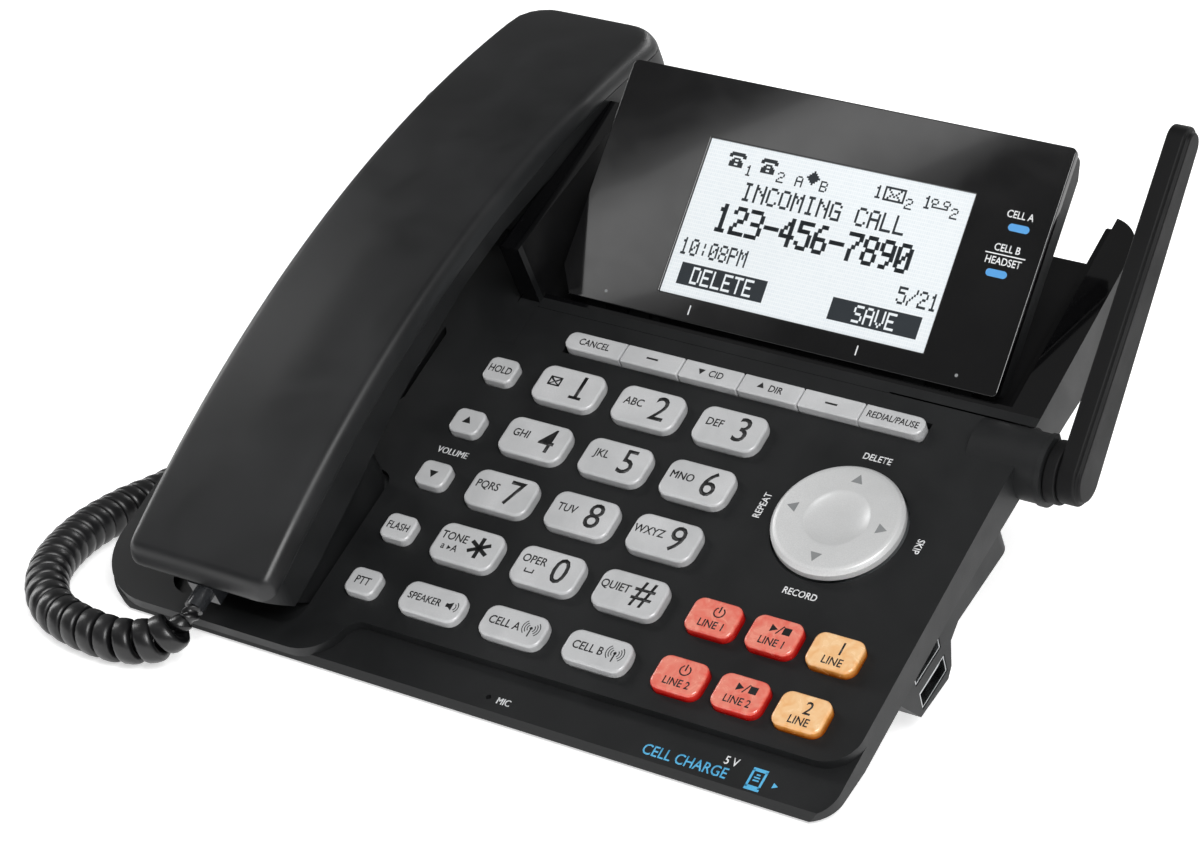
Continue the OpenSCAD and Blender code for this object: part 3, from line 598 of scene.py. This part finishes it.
# the block leaves the parting line at the front edge and slopes back below it
soften("handset_lower", 0.4, 3, shape=lambda piece: cut(
    piece, (HANDSET_X - 30, -26.8, -24.5), (HANDSET_X + 30, 13.2, 15.5), tip=-52.4))
print("handset back", len(back.data.polygons), "faces")

# %% [markdown]
# ## The round disc
#
# The disc looks like a turned part: a bright narrow rim, a flat ring and a shallow dish. A ring
# of edges is extruded and scaled step by step along its profile.

# %% Turned disc
def turned(name, profile, sides=96):
    """A closed turned piece from (radius, height) pairs in millimetres."""
    bpy.ops.mesh.primitive_circle_add(vertices=sides, radius=profile[0][0])
    item = bpy.context.object
    item.name = name
    item.data.transform(Matrix.Translation((0, 0, profile[0][1])))
    open_mesh()
    for (r0, z0), (r1, z1) in zip(profile, profile[1:]):
        bpy.ops.mesh.extrude_edges_move(TRANSFORM_OT_translate={"value": (0, 0, z1 - z0)})
        bpy.ops.transform.resize(value=(r1 / r0, r1 / r0, 1))
    bpy.ops.mesh.select_all(action="SELECT")
    bpy.ops.mesh.fill_holes(sides=0)
    bpy.ops.mesh.normals_make_consistent(inside=False)
    close_mesh()
    return item


disc = turned("nav_disc_turned", (
    (0.4, 0.35), (16.9, 0.35), (16.9, 1.9), (16.8, 2.15), (16.15, 2.85), (15.9, 3.02), (15.5, 3.1),
    (15.2, 3.2), (14.9, 3.22), (8.7, 3.22), (8.3, 3.16), (7.9, 3.0), (7.3, 2.75), (6.2, 2.45),
    (4.6, 2.18), (2.6, 2.03), (0.4, 2.0)))
disc.data.transform(DECK @ Matrix.Translation((NAV_X, NAV_Y, 0)))
settle(disc, "nav_disc", paint_pale)
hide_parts("nav_disc")
print("disc", len(disc.data.polygons), "faces")

# %% [markdown]
# ## The curly cord
#
# The cord is one tube that winds round an unseen route: out of the handset, across the table and
# up to the jack in the base's left side. We walk the same route as the solid does, with a smooth
# spline through its points. The photograph's curls are wide flat bands, because such a cord holds
# four wires side by side, so we sweep a flat, boxy section with a slightly longer pitch inside the
# solid's own outer diameter. Both ends stay straight.

# %% Route of the cord
def deck_point(x, y, z):
    return DECK @ Vector((x, y, z)) / MM


PLUG_OUT, BASE_LEFT = 5.2, -116.7
plug_end = deck_point(HANDSET_X, HANDSET_Y[0] - PLUG_OUT, 11.5)
jack_end = deck_point(BASE_LEFT - PLUG_OUT, 110, -16)
out_dir = Vector((0, -math.cos(TILT), -math.sin(TILT)))
ROUTE = [plug_end, plug_end + 4 * out_dir] + [Vector(p) for p in (
    (-79, -105, 8), (-88, -108.5, 6.5), (-100, -108.5, 6.5), (-112, -105, 6.5), (-122, -97, 6.5),
    (-130, -85, 6.5), (-135, -68, 6.5), (-135.5, -51, 6.5), (-133, -36, 6.5), (-130, -22, 8),
    (-128, -9, 13), (-127, 0, 20), (-127, 7, 28), (-127.5, 12.5, 37))] + [
    jack_end - Vector((4, 0, 0)), jack_end]
COIL_R, CURL_PITCH, PLAIN = 4.26, 5.05, (4.0, 16.0)


def route_at(u):
    last = len(ROUTE) - 1
    i = min(int(u), last - 1)
    t = u - i
    a, b = ROUTE[max(i - 1, 0)], ROUTE[i]
    c, d = ROUTE[i + 1], ROUTE[min(i + 2, last)]
    return 0.5 * (2 * b + (c - a) * t + (2 * a - 5 * b + 4 * c - d) * t * t
                  + (3 * b - a - 3 * c + d) * t * t * t)


STEPS = 12 * (len(ROUTE) - 1)
stations = [route_at(i / 12) for i in range(STEPS + 1)]
lengths = [0.0]
for near, far in zip(stations, stations[1:]):
    lengths.append(lengths[-1] + (far - near).length)
cord_l = lengths[-1]


def along(s):
    s = min(max(s, 0.0), cord_l)
    i = max(k for k in range(STEPS) if lengths[k] <= s)
    return route_at((i + (s - lengths[i]) / (lengths[i + 1] - lengths[i])) / 12)


def coil_axes(s):
    heading = (along(s + 0.4) - along(s - 0.4)).normalized()
    side = heading.cross(Vector((6, 6, -5))).normalized()
    turn = 2 * math.pi * (s - PLAIN[0]) / CURL_PITCH
    over = heading.cross(side)
    return heading, math.cos(turn) * side + math.sin(turn) * over


def curl_radius(s):
    grow = min(1.0, max(0.0, (s - PLAIN[0]) / CURL_PITCH))
    fade = min(1.0, max(0.0, (cord_l - PLAIN[1] - s) / CURL_PITCH))
    return COIL_R * grow * fade


def curl_point(s):
    return along(s) + curl_radius(s) * coil_axes(s)[1]


CURL_STEPS = 24
count = round(cord_l / CURL_PITCH * CURL_STEPS)
centre = [curl_point(cord_l * i / count) for i in range(count + 1)]

# %% Tube of the cord
SIDES = 14
THICK, WIDE, BOXY = 3.1, 4.75, 0.7
tube = bmesh.new()
rings = []
for i, point in enumerate(centre):
    s = cord_l * i / count
    heading, outward = coil_axes(s)
    run = (centre[min(i + 1, count)] - centre[max(i - 1, 0)]).normalized()
    if i < 6 or i > count - 6:
        run = heading
    outward = (outward - outward.dot(run) * run).normalized()
    side = run.cross(outward)
    ring = []
    for k in range(SIDES):
        angle = 2 * math.pi * k / SIDES
        c, v = math.cos(angle), math.sin(angle)
        c, v = math.copysign(abs(c) ** BOXY, c), math.copysign(abs(v) ** BOXY, v)
        offset = THICK / 2 * c * outward + WIDE / 2 * v * side
        ring.append(tube.verts.new((point + offset) * MM))
    rings.append(ring)
for near, far in zip(rings, rings[1:]):
    for k in range(SIDES):
        tube.faces.new((near[k], near[(k + 1) % SIDES], far[(k + 1) % SIDES], far[k]))
tube.faces.new(list(reversed(rings[0])))
tube.faces.new(rings[-1])
bmesh.ops.recalc_face_normals(tube, faces=tube.faces)
cord_mesh = bpy.data.meshes.new("curly_cord")
tube.to_mesh(cord_mesh)
tube.free()
cord_piece = bpy.data.objects.new("curly_cord", cord_mesh)
bpy.context.scene.collection.objects.link(cord_piece)
alone(cord_piece)
bpy.ops.object.shade_smooth()
dress(cord_piece, vinyl)
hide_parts("handset_cord")
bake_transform(cord_piece)
print("cord tube", len(cord_mesh.polygons), "faces")

# %% [markdown]
# ## Printed legends
#
# The words and signs are pad printed: a soft pad presses a thin film of ink on the finished part.
# Each legend is set as text, made a mesh, joined with its signs and given the film's thickness,
# then laid on its key so that it moves when the key is pressed.

# %% Helpers for printing
FILM = 0.03  # thickness of the ink, mm
CAPITALS = 0.69  # a capital's height as a share of the font's size
PRINTED = []


def write(words, x, y, cap, spin=0, squeeze=0.86, bold=0.04):
    """Flat text in local millimetres, cap millimetres tall, centred on x, y.

    The inner corners of an M cross when its outline grows, so such words are set twice, a hair
    apart, to look as bold as the rest.
    """
    crossing = "M" in words
    for shift in ((-0.05, 0.05) if crossing else (0,)):
        bpy.ops.object.text_add(location=(0, 0, 0))
        item = bpy.context.object
        item.data.body = words
        item.data.align_x = "CENTER"
        item.data.align_y = "CENTER"
        item.data.size = cap / CAPITALS
        item.data.resolution_u = 3
        item.data.offset = 0 if crossing else bold
        alone(item)
        bpy.ops.object.convert(target="MESH")
        item = bpy.context.object
        box = [Vector(c) for c in item.bound_box]
        middle = (box[0] + box[6]) / 2
        item.data.transform(Matrix.Translation((x + shift, y, 0))
                            @ Matrix.Rotation(math.radians(spin), 4, "Z")
                            @ Matrix.Diagonal((squeeze, 1, 1, 1)) @ Matrix.Translation(-middle))
        PRINTED.append(item)


def lay(x, y, spin=0, w=1.0, h=1.0):
    """Scales, turns and places the shape just made, and keeps it for the next print."""
    item = bpy.context.object
    item.data.transform(Matrix.Translation((x, y, 0)) @ Matrix.Rotation(math.radians(spin), 4, "Z")
                        @ Matrix.Diagonal((w, h, 1, 1)))
    PRINTED.append(item)


def plate(x, y, w, h, spin=0):
    bpy.ops.mesh.primitive_plane_add(size=1)
    lay(x, y, spin, w, h)


def arrow(x, y, r, spin=0, wide=1.0):
    """A triangle that points up before it is turned by spin."""
    bpy.ops.mesh.primitive_circle_add(vertices=3, radius=r, fill_type="NGON")
    lay(x, y, spin, wide)


def hoop(x, y, r, t, lo=0, hi=360):
    """A flat ring of radius r and width t between two angles, counted from the right."""
    bpy.ops.mesh.primitive_circle_add(vertices=36, radius=r)
    item = bpy.context.object
    open_mesh()
    bpy.ops.mesh.extrude_edges_move()
    bpy.ops.transform.resize(value=(1 + t / r, 1 + t / r, 1))
    bpy.ops.mesh.select_all(action="DESELECT")
    mesh = bmesh.from_edit_mesh(item.data)
    for face in mesh.faces:
        c = face.calc_center_median()
        angle = math.degrees(math.atan2(c.y, c.x)) % 360
        face.select = not (lo <= angle <= hi or lo <= angle - 360 <= hi)
    bmesh.update_edit_mesh(item.data)
    bpy.ops.mesh.delete(type="FACE")
    close_mesh()
    lay(x, y)


def dot(x, y, r):
    bpy.ops.mesh.primitive_circle_add(vertices=20, radius=r, fill_type="NGON")
    lay(x, y)


def press(name, axes, x, y, z, body, made, film=FILM):
    """Joins what was written, gives it the film's thickness and lays it on its part."""
    bpy.ops.object.select_all(action="DESELECT")
    for item in PRINTED:
        item.select_set(True)
    bpy.context.view_layer.objects.active = PRINTED[0]
    if len(PRINTED) > 1:
        bpy.ops.object.join()
    piece = bpy.context.object
    piece.name = name
    PRINTED.clear()
    alone(piece)
    open_mesh()
    bpy.ops.mesh.remove_doubles(threshold=0.002)
    bpy.ops.mesh.normals_make_consistent(inside=False)
    close_mesh()
    up = sum(p.normal.z * p.area for p in piece.data.polygons)
    if up < 0:
        piece.data.flip_normals()
    thick = piece.modifiers.new("film", "SOLIDIFY")
    thick.thickness = film
    thick.offset = 1
    apply_all(piece)
    piece.data.transform(axes @ Matrix.Translation((x, y, z)))
    dress(piece, made)
    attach(piece, body)


def envelope(x, y, s):
    for a, b, w, h, spin in ((0, 1.25, 3.6, 0.45, 0), (0, -1.25, 3.6, 0.45, 0),
                             (-1.6, 0, 0.45, 2.6, 0), (1.6, 0, 0.45, 2.6, 0),
                             (-0.8, 0.45, 2.1, 0.5, -38), (0.8, 0.45, 2.1, 0.5, 38),
                             (-0.95, -0.75, 1.6, 0.35, 30), (0.95, -0.75, 1.6, 0.35, -30)):
        plate(x + a * s, y + b * s, w * s, h * s, spin)


def waves(x, y, s):
    """A small mast with waves on both sides."""
    dot(x, y, 0.5 * s)
    plate(x, y - 1.5 * s, 0.42 * s, 3.0 * s)
    for r in (1.1, 1.9, 2.7):
        hoop(x, y, r * s, 0.3 * s, -48, 48)
        hoop(x, y, r * s, 0.3 * s, 132, 228)


def loud(x, y, s):
    plate(x - 1.3 * s, y, 0.9 * s, 1.3 * s)
    arrow(x - 0.35 * s, y, 1.5 * s, 90, 1.1)
    for r in (1.2, 2.0):
        hoop(x + 0.2 * s, y, r * s, 0.32 * s, -50, 50)


def power(x, y, s):
    hoop(x, y, 1.25 * s, 0.4 * s, -235, 55)
    plate(x, y + 0.85 * s, 0.42 * s, 2.0 * s)


def play_stop(x, y, s):
    arrow(x - 1.9 * s, y, 1.35 * s, -90)
    plate(x + 0.1 * s, y, 0.35 * s, 3.0 * s, -28)
    plate(x + 2.1 * s, y, 2.2 * s, 2.2 * s)


print("printing tools ready")

# %% [markdown]
# ## Legends on the dial keys
#
# Each dial key carries a large digit on the right and its letters on the left, both in black.

# %% Dial key legends
LIFT = 0.004  # how far a print's underside floats over its surface, mm
KEY_TOP = CAP_TOP + LIFT
SIDE_X = -42  # the column of small keys


def on_key(key, x, y):
    """Prints what was written in black on a key's top."""
    press(key + "_legend", DECK, x, y, KEY_TOP, key, ink_black)


DIAL = [("key_1", "1", ""), ("key_2", "2", "ABC"), ("key_3", "3", "DEF"), ("key_4", "4", "GHI"),
        ("key_5", "5", "JKL"), ("key_6", "6", "MNO"), ("key_7", "7", "PQRS"), ("key_8", "8", "TUV"),
        ("key_9", "9", "WXYZ"), ("key_star", "*", "TONE"), ("key_0", "0", "OPER"),
        ("key_pound", "#", "QUIET")]
for index, (key, digit, letters) in enumerate(DIAL):
    if digit == "*":
        for spin in (0, 60, 120):
            plate(3.6, 0.3, 1.1, 6.4, spin)
    else:
        write(digit, 3.6, 0.4, 7.4, squeeze=0.9, bold=0.05)
        if digit == "1":
            plate(3.5, -2.9, 3.6, 0.85)
    if digit == "1":
        envelope(-4.3, 0.7, 1.0)
    elif digit in "*0":
        write(letters, -4.3, 1.6, 2.3)
    else:
        write(letters, -4.4, 0.7, 2.3)
    if digit == "*":
        write("a", -6.1, -1.9, 2.0)
        arrow(-4.4, -1.9, 0.75, -90)
        write("A", -2.7, -1.7, 2.0)
    if digit == "0":
        plate(-4.3, -2.3, 2.6, 0.35)
        plate(-5.45, -1.85, 0.35, 1.2)
        plate(-3.15, -1.85, 0.35, 1.2)
    on_key(key, DIAL_X[index % 3], ROW_Y[index // 3])
print("dial legends", len(DIAL))

# %% Legends on the other keys
write("SPEAKER", -2.2, 0.1, 2.0)
loud(5.6, 0.1, 0.85)
on_key("key_speaker", -21, ROW_Y[4])
for key, words, x in (("key_cell_a", "CELL A", 3.1), ("key_cell_b", "CELL B", 27.2)):
    write(words, -2.5, 0.1, 2.3)
    waves(4.9, 0.6, 0.85)
    on_key(key, x, ROW_Y[4])
for key, words, row, cap in (("key_hold", "HOLD", 0, 2.2), ("key_flash", "FLASH", 3, 2.1),
                             ("key_ptt", "PTT", 4, 2.3)):
    write(words, 0, 0, cap, squeeze=0.78)
    on_key(key, SIDE_X, ROW_Y[row])
for key, row, spin in (("key_volume_up", 1, 0), ("key_volume_down", 2, 180)):
    arrow(0, 0, 1.45, spin)
    on_key(key, SIDE_X, ROW_Y[row])
for key, words, x, row, sign in (("key_line1", "LINE 1", 50.4, 3, power),
                                 ("key_line1_play", "LINE 1", 67.1, 3, play_stop),
                                 ("key_line2", "LINE 2", 50.4, 4, power),
                                 ("key_line2_play", "LINE 2", 67.1, 4, play_stop)):
    sign(0.9, 1.6, 0.95)
    write(words, 0.4, -2.2, 2.1)
    on_key(key, x, ROW_Y[row])
for key, digit, row in (("key_amber_1", "1", 3), ("key_amber_2", "2", 4)):
    write(digit, 1.4, 1.3, 3.6, bold=0.035)
    write("LINE", 0.6, -2.6, 2.2)
    on_key(key, 83.7, ROW_Y[row])
print("key legends done")

# %% Legends on the function row
FUNC_PITCH, FUNC_X, FUNC_Y = 17.45, -29.9, (107.8 + 113.5) / 2
for index, words in enumerate(("CANCEL", "", "CID", "DIR", "", "REDIAL/PAUSE")):
    if words == "":
        plate(0, 0, 3.4, 0.55)
    elif words in ("CID", "DIR"):
        arrow(-2.8, 0.15, 1.15, 180 if words == "CID" else 0)
        write(words, 1.6, 0, 2.0)
    else:
        write(words, 0, 0, 2.0 if words == "CANCEL" else 1.9, squeeze=0.82)
    on_key("func_key_%d" % (index + 1), FUNC_X + (index + 0.5) * FUNC_PITCH, FUNC_Y)
print("function legends done")

# %% [markdown]
# ## Legends on the deck, the lip and the disc
#
# The deck's words are white, the charging words on the lip are blue, and the disc has four grey
# arrow heads near its rim.

# %% Deck and lip legends
WORD_R, ARROW_R, DISC_TOP, LIP_TOP = 21.6, 12.0, 3.22, -3.0
write("VOLUME", SIDE_X, (ROW_Y[1] + ROW_Y[2]) / 2, 1.9)
write("DELETE", NAV_X, NAV_Y + WORD_R, 1.9)
write("RECORD", NAV_X, NAV_Y - WORD_R, 1.9)
write("REPEAT", NAV_X - WORD_R, NAV_Y, 1.9, spin=90)
write("SKIP", NAV_X + WORD_R, NAV_Y, 1.9, spin=-90)
press("deck_legends", DECK, 0, 0, LIFT, "base", ink_white)
for step in range(4):
    turn = math.radians(90 * step)
    arrow(-ARROW_R * math.sin(turn), ARROW_R * math.cos(turn), 1.8, 90 * step)
press("nav_arrows", DECK, NAV_X, NAV_Y, DISC_TOP, "nav_disc", ink_grey)
write("MIC", 9.0, 6.4, 1.8)
write("5 V", 71.5, 9.4, 2.2)
press("lip_legends", DECK, 0, 0, LIP_TOP + LIFT, "base", ink_white)
write("CELL CHARGE", 60.5, 5.9, 2.9)
for x, y, w, h in ((79.4, 9.3, 4.0, 0.9), (79.4, 4.3, 4.0, 1.3), (77.7, 6.8, 0.6, 5.0),
                   (81.1, 6.8, 0.6, 5.0), (79.4, 6.4, 1.6, 0.4), (79.4, 7.2, 1.6, 0.4),
                   (79.4, 8.0, 1.0, 0.4)):
    plate(x, y, w, h)
arrow(84.4, 6.5, 0.9, -90)
press("lip_legends_blue", DECK, 0, 0, LIP_TOP + LIFT, "base", ink_blue)
print("deck legends done")

# %% [markdown]
# ## The screen's dots
#
# The screen is a dot matrix, so its characters are drawn the way it draws them: a grid is added,
# the cells that stay clear are deleted, and every dot left is inset a little to show the gap to
# its neighbour. The glyphs are a plain five by seven set.

# %% Glyphs
GLYPHS = {
    "0": "01110 10001 10011 10101 11001 10001 01110",
    "1": "00100 01100 00100 00100 00100 00100 01110",
    "2": "01110 10001 00001 00110 01000 10000 11111",
    "3": "11110 00001 00001 01110 00001 00001 11110",
    "4": "00010 00110 01010 10010 11111 00010 00010",
    "5": "11111 10000 11110 00001 00001 10001 01110",
    "6": "00110 01000 10000 11110 10001 10001 01110",
    "7": "11111 00001 00010 00100 01000 01000 01000",
    "8": "01110 10001 10001 01110 10001 10001 01110",
    "9": "01110 10001 10001 01111 00001 00010 01100",
    "A": "01110 10001 10001 11111 10001 10001 10001",
    "B": "11110 10001 10001 11110 10001 10001 11110",
    "C": "01110 10001 10000 10000 10000 10001 01110",
    "D": "11110 10001 10001 10001 10001 10001 11110",
    "E": "11111 10000 10000 11110 10000 10000 11111",
    "G": "01110 10001 10000 10111 10001 10001 01111",
    "I": "01110 00100 00100 00100 00100 00100 01110",
    "L": "10000 10000 10000 10000 10000 10000 11111",
    "M": "10001 11011 10101 10101 10001 10001 10001",
    "N": "10001 11001 10101 10011 10001 10001 10001",
    "O": "01110 10001 10001 10001 10001 10001 01110",
    "P": "11110 10001 10001 11110 10000 10000 10000",
    "S": "01111 10000 10000 01110 00001 00001 11110",
    "T": "11111 00100 00100 00100 00100 00100 00100",
    "V": "10001 10001 10001 10001 10001 01010 00100",
    "-": "00000 00000 00000 11111 00000 00000 00000",
    "/": "00001 00001 00010 00100 01000 10000 10000",
    ":": "00000 00100 00100 00000 00100 00100 00000",
    " ": "00000 00000 00000 00000 00000 00000 00000",
}
PHONE = "0111111110 1111111111 1100000011 0001111000 0011001100 0111111110 0111001110 0111111110"
LETTER = "11111111111 10100000101 10010001001 10001010001 10010101001 10100000101 11111111111"
TAPE = "0111000001110 1000100010001 1000100010001 0111000001110 0100000000010 0111111111110"
DOTS = []


def rows_of(words):
    return [list("0".join(GLYPHS[c].split()[r] for c in words)) for r in range(7)]


def dots(rows, left, top, dot_w, dot_h, inverse=False, rim=(0, 0)):
    """Dark dots from rows of 0 and 1, their top left corner at left, top."""
    if inverse:
        wide = len(rows[0]) + 2 * rim[0]
        blank_row = ["1"] * wide
        flipped = [["1"] * rim[0] + ["0" if c == "1" else "1" for c in row] + ["1"] * rim[0]
                   for row in rows]
        rows = [blank_row] * rim[1] + flipped + [blank_row] * rim[1]
    down, across = len(rows), len(rows[0])
    bpy.ops.mesh.primitive_grid_add(x_subdivisions=across, y_subdivisions=down, size=1)
    item = bpy.context.object
    open_mesh("DESELECT")
    mesh = bmesh.from_edit_mesh(item.data)
    for face in mesh.faces:
        c = face.calc_center_median()
        column, row = int((c.x + 0.5) * across), int((0.5 - c.y) * down)
        face.select = rows[row][column] != "1"
    bmesh.update_edit_mesh(item.data)
    bpy.ops.mesh.delete(type="FACE")
    close_mesh()
    width, height = across * dot_w, down * dot_h
    lay(left + width / 2, top - height / 2, 0, width, height)
    open_mesh()
    bpy.ops.mesh.inset(thickness=0.05, use_individual=True)
    bpy.ops.mesh.select_all(action="INVERT")
    bpy.ops.mesh.delete(type="FACE")
    close_mesh()
    DOTS.append(len(item.data.polygons))


def icon(text, left, top, size):
    dots([list(row) for row in text.split()], left, top, size, size)


# %% Draw the screen
icon(PHONE, -5.5, 47.2, 0.5)
dots(rows_of("1"), 0.2, 44.5, 0.42, 0.42)
icon(PHONE, 4.0, 47.2, 0.5)
dots(rows_of("2"), 9.7, 44.5, 0.42, 0.42)
dots(rows_of("A"), 15.2, 44.5, 0.42, 0.42)
icon("0001000 0011100 0111110 1111111 0111110 0011100 0001000", 18.0, 46.6, 0.55)
dots(rows_of("B"), 22.4, 44.5, 0.42, 0.42)
dots(rows_of("1"), 37.6, 46.6, 0.5, 0.5)
icon(LETTER, 40.4, 46.8, 0.55)
dots(rows_of("2"), 46.9, 44.8, 0.42, 0.42)
dots(rows_of("1"), 51.6, 46.6, 0.5, 0.5)
icon(TAPE, 53.8, 46.2, 0.42)
dots(rows_of("2"), 59.8, 44.8, 0.42, 0.42)
dots(rows_of("INCOMING CALL"), 1.4, 39.9, 0.62, 0.72)
for left in (-3.6, -3.2):  # twice, half a dot apart, so that the number looks bold
    dots(rows_of("123-456-7890"), left, 33.2, 0.8, 1.12)
dots(rows_of("10:08PM"), -10.6, 22.2, 0.48, 0.66)
dots(rows_of("DELETE"), -8.4, 15.6, 0.52, 0.66, inverse=True, rim=(7, 1))
dots(rows_of("SAVE"), 36.2, 15.6, 0.52, 0.66, inverse=True, rim=(13, 1))
dots(rows_of("5/21"), 53.0, 22.2, 0.5, 0.66)
press("lcd_dots", DISPLAY, 0, 0, -0.5 + LIFT, "display", lcd_ink)
print("screen dots", sum(DOTS))

# %% [markdown]
# ## Words and lamps beside the screen

# %% Display legends and lamps
write("CELL A", 78.6, 46.4, 1.9)
write("CELL B", 78.0, 37.4, 1.9)
plate(78.0, 35.6, 11.0, 0.3)
write("HEADSET", 78.0, 33.9, 1.9)
plate(-1.7, 3.4, 0.35, 2.6)
plate(47.4, 3.4, 0.35, 2.6)
press("display_legends", DISPLAY, 0, 0, LIFT, "display", ink_white)
dot(-27.0, 3.2, 0.45)
dot(75.6, 3.2, 0.45)
press("display_pinholes", DISPLAY, 0, 0, LIFT, "display", ink_grey)


def lamp(name, x, q):
    """A pill-shaped window: a flattened cylinder with a soft rim."""
    bpy.ops.mesh.primitive_cylinder_add(vertices=32, radius=1.0, depth=0.5)
    piece = bpy.context.object
    piece.name = name
    open_mesh()
    mesh = bmesh.from_edit_mesh(piece.data)
    for v in mesh.verts:
        v.co.x += math.copysign(1.9, v.co.x)
    bmesh.update_edit_mesh(piece.data)
    close_mesh()
    rim = piece.modifiers.new("rim", "BEVEL")
    rim.width = 0.12
    rim.segments = 3
    rim.limit_method = "ANGLE"
    apply_all(piece)
    piece.data.transform(DISPLAY @ Matrix.Translation((x, q, -0.05)))
    settle(piece, "display", lamp_blue)


lamp("lamp_cell_a", 79.2, 43.0)
lamp("lamp_cell_b", 77.2, 30.6)
print("lamps done")

# %% [markdown]
# ## Light and floor
#
# A catalogue shot stands on a white sweep. One big soft box hangs in front on the right, clear of
# what the black faces mirror, a long strip at the back draws the edges, a card on the left lifts
# the key caps' shoulders, and the sky stays dim so that black stays black.

# %% Floor and light
bpy.ops.mesh.primitive_plane_add(size=8)
floor = bpy.context.object
floor.name = "floor"
floor_mat, floor_tree, floor_shader, floor_place = blank("studio_sweep_white")
fleck = add(floor_tree, "ShaderNodeTexNoise", {"Vector": floor_place, "Scale": 3.0})
shade = add(floor_tree, "ShaderNodeMix", {"Factor": fleck.outputs["Fac"]}, data_type="RGBA")
shade.inputs[6].default_value = tone("#f4f4f4")
shade.inputs[7].default_value = tone("#fafafa")
floor_tree.links.new(shade.outputs[2], floor_shader.inputs["Base Color"])
floor_tree.links.new(shade.outputs[2], floor_shader.inputs["Emission Color"])
floor_shader.inputs["Emission Strength"].default_value = 0.62
floor_shader.inputs["Roughness"].default_value = 0.9
dress(floor, floor_mat)

world = bpy.context.scene.world or bpy.data.worlds.new("world")
bpy.context.scene.world = world
world.use_nodes = True
sky = next(n for n in world.node_tree.nodes if n.type == "BACKGROUND")
sky.inputs["Color"].default_value = (1, 1, 1, 1)
sky.inputs["Strength"].default_value = 0.2


def area_light(name, size, watts):
    light = bpy.data.lights.new(name, "AREA")
    light.shape = "RECTANGLE"
    light.size, light.size_y = size
    light.energy = watts
    box = bpy.data.objects.new(name, light)
    bpy.context.scene.collection.objects.link(box)
    return box


def soft_box(name, place, aim, size, watts):
    box = area_light(name, size, watts)
    box.location = place
    box.rotation_euler = (Vector(aim) - Vector(place)).to_track_quat("-Z", "Y").to_euler()


soft_box("key_box", (0.95, -0.95, 1.35), (0, 0, 0.03), (0.9, 0.9), 29)
soft_box("back_strip", (0.35, 1.5, 0.75), (0, 0, 0.06), (1.8, 0.25), 10)
soft_box("left_card", (-1.35, 0.1, 0.55), (0, 0, 0.05), (0.25, 1.3), 8)

# a narrow card that the glossy screen mirrors: its long edge crosses the screen's face like a
# diagonal, so the card is turned by its own three axes instead of being aimed at a point
long_way = Vector((-0.172, -0.067, -0.134)).normalized()
short_way = Vector((-0.0764, 0.0833, 0.0564)).normalized()
to_screen = Vector((0.45, 0.57, -0.69))
if long_way.cross(short_way).dot(to_screen) > 0:
    long_way = -long_way
CARD = (0.8, 0.07)
card_axes = Matrix((long_way, short_way, long_way.cross(short_way))).transposed().to_4x4()
card_at = Vector((-0.556, -0.699, 0.991)) + CARD[1] / 2 * short_way
card = area_light("mirror_card", CARD, 0.4)
card.matrix_world = Matrix.Translation(card_at) @ card_axes
print("lit")
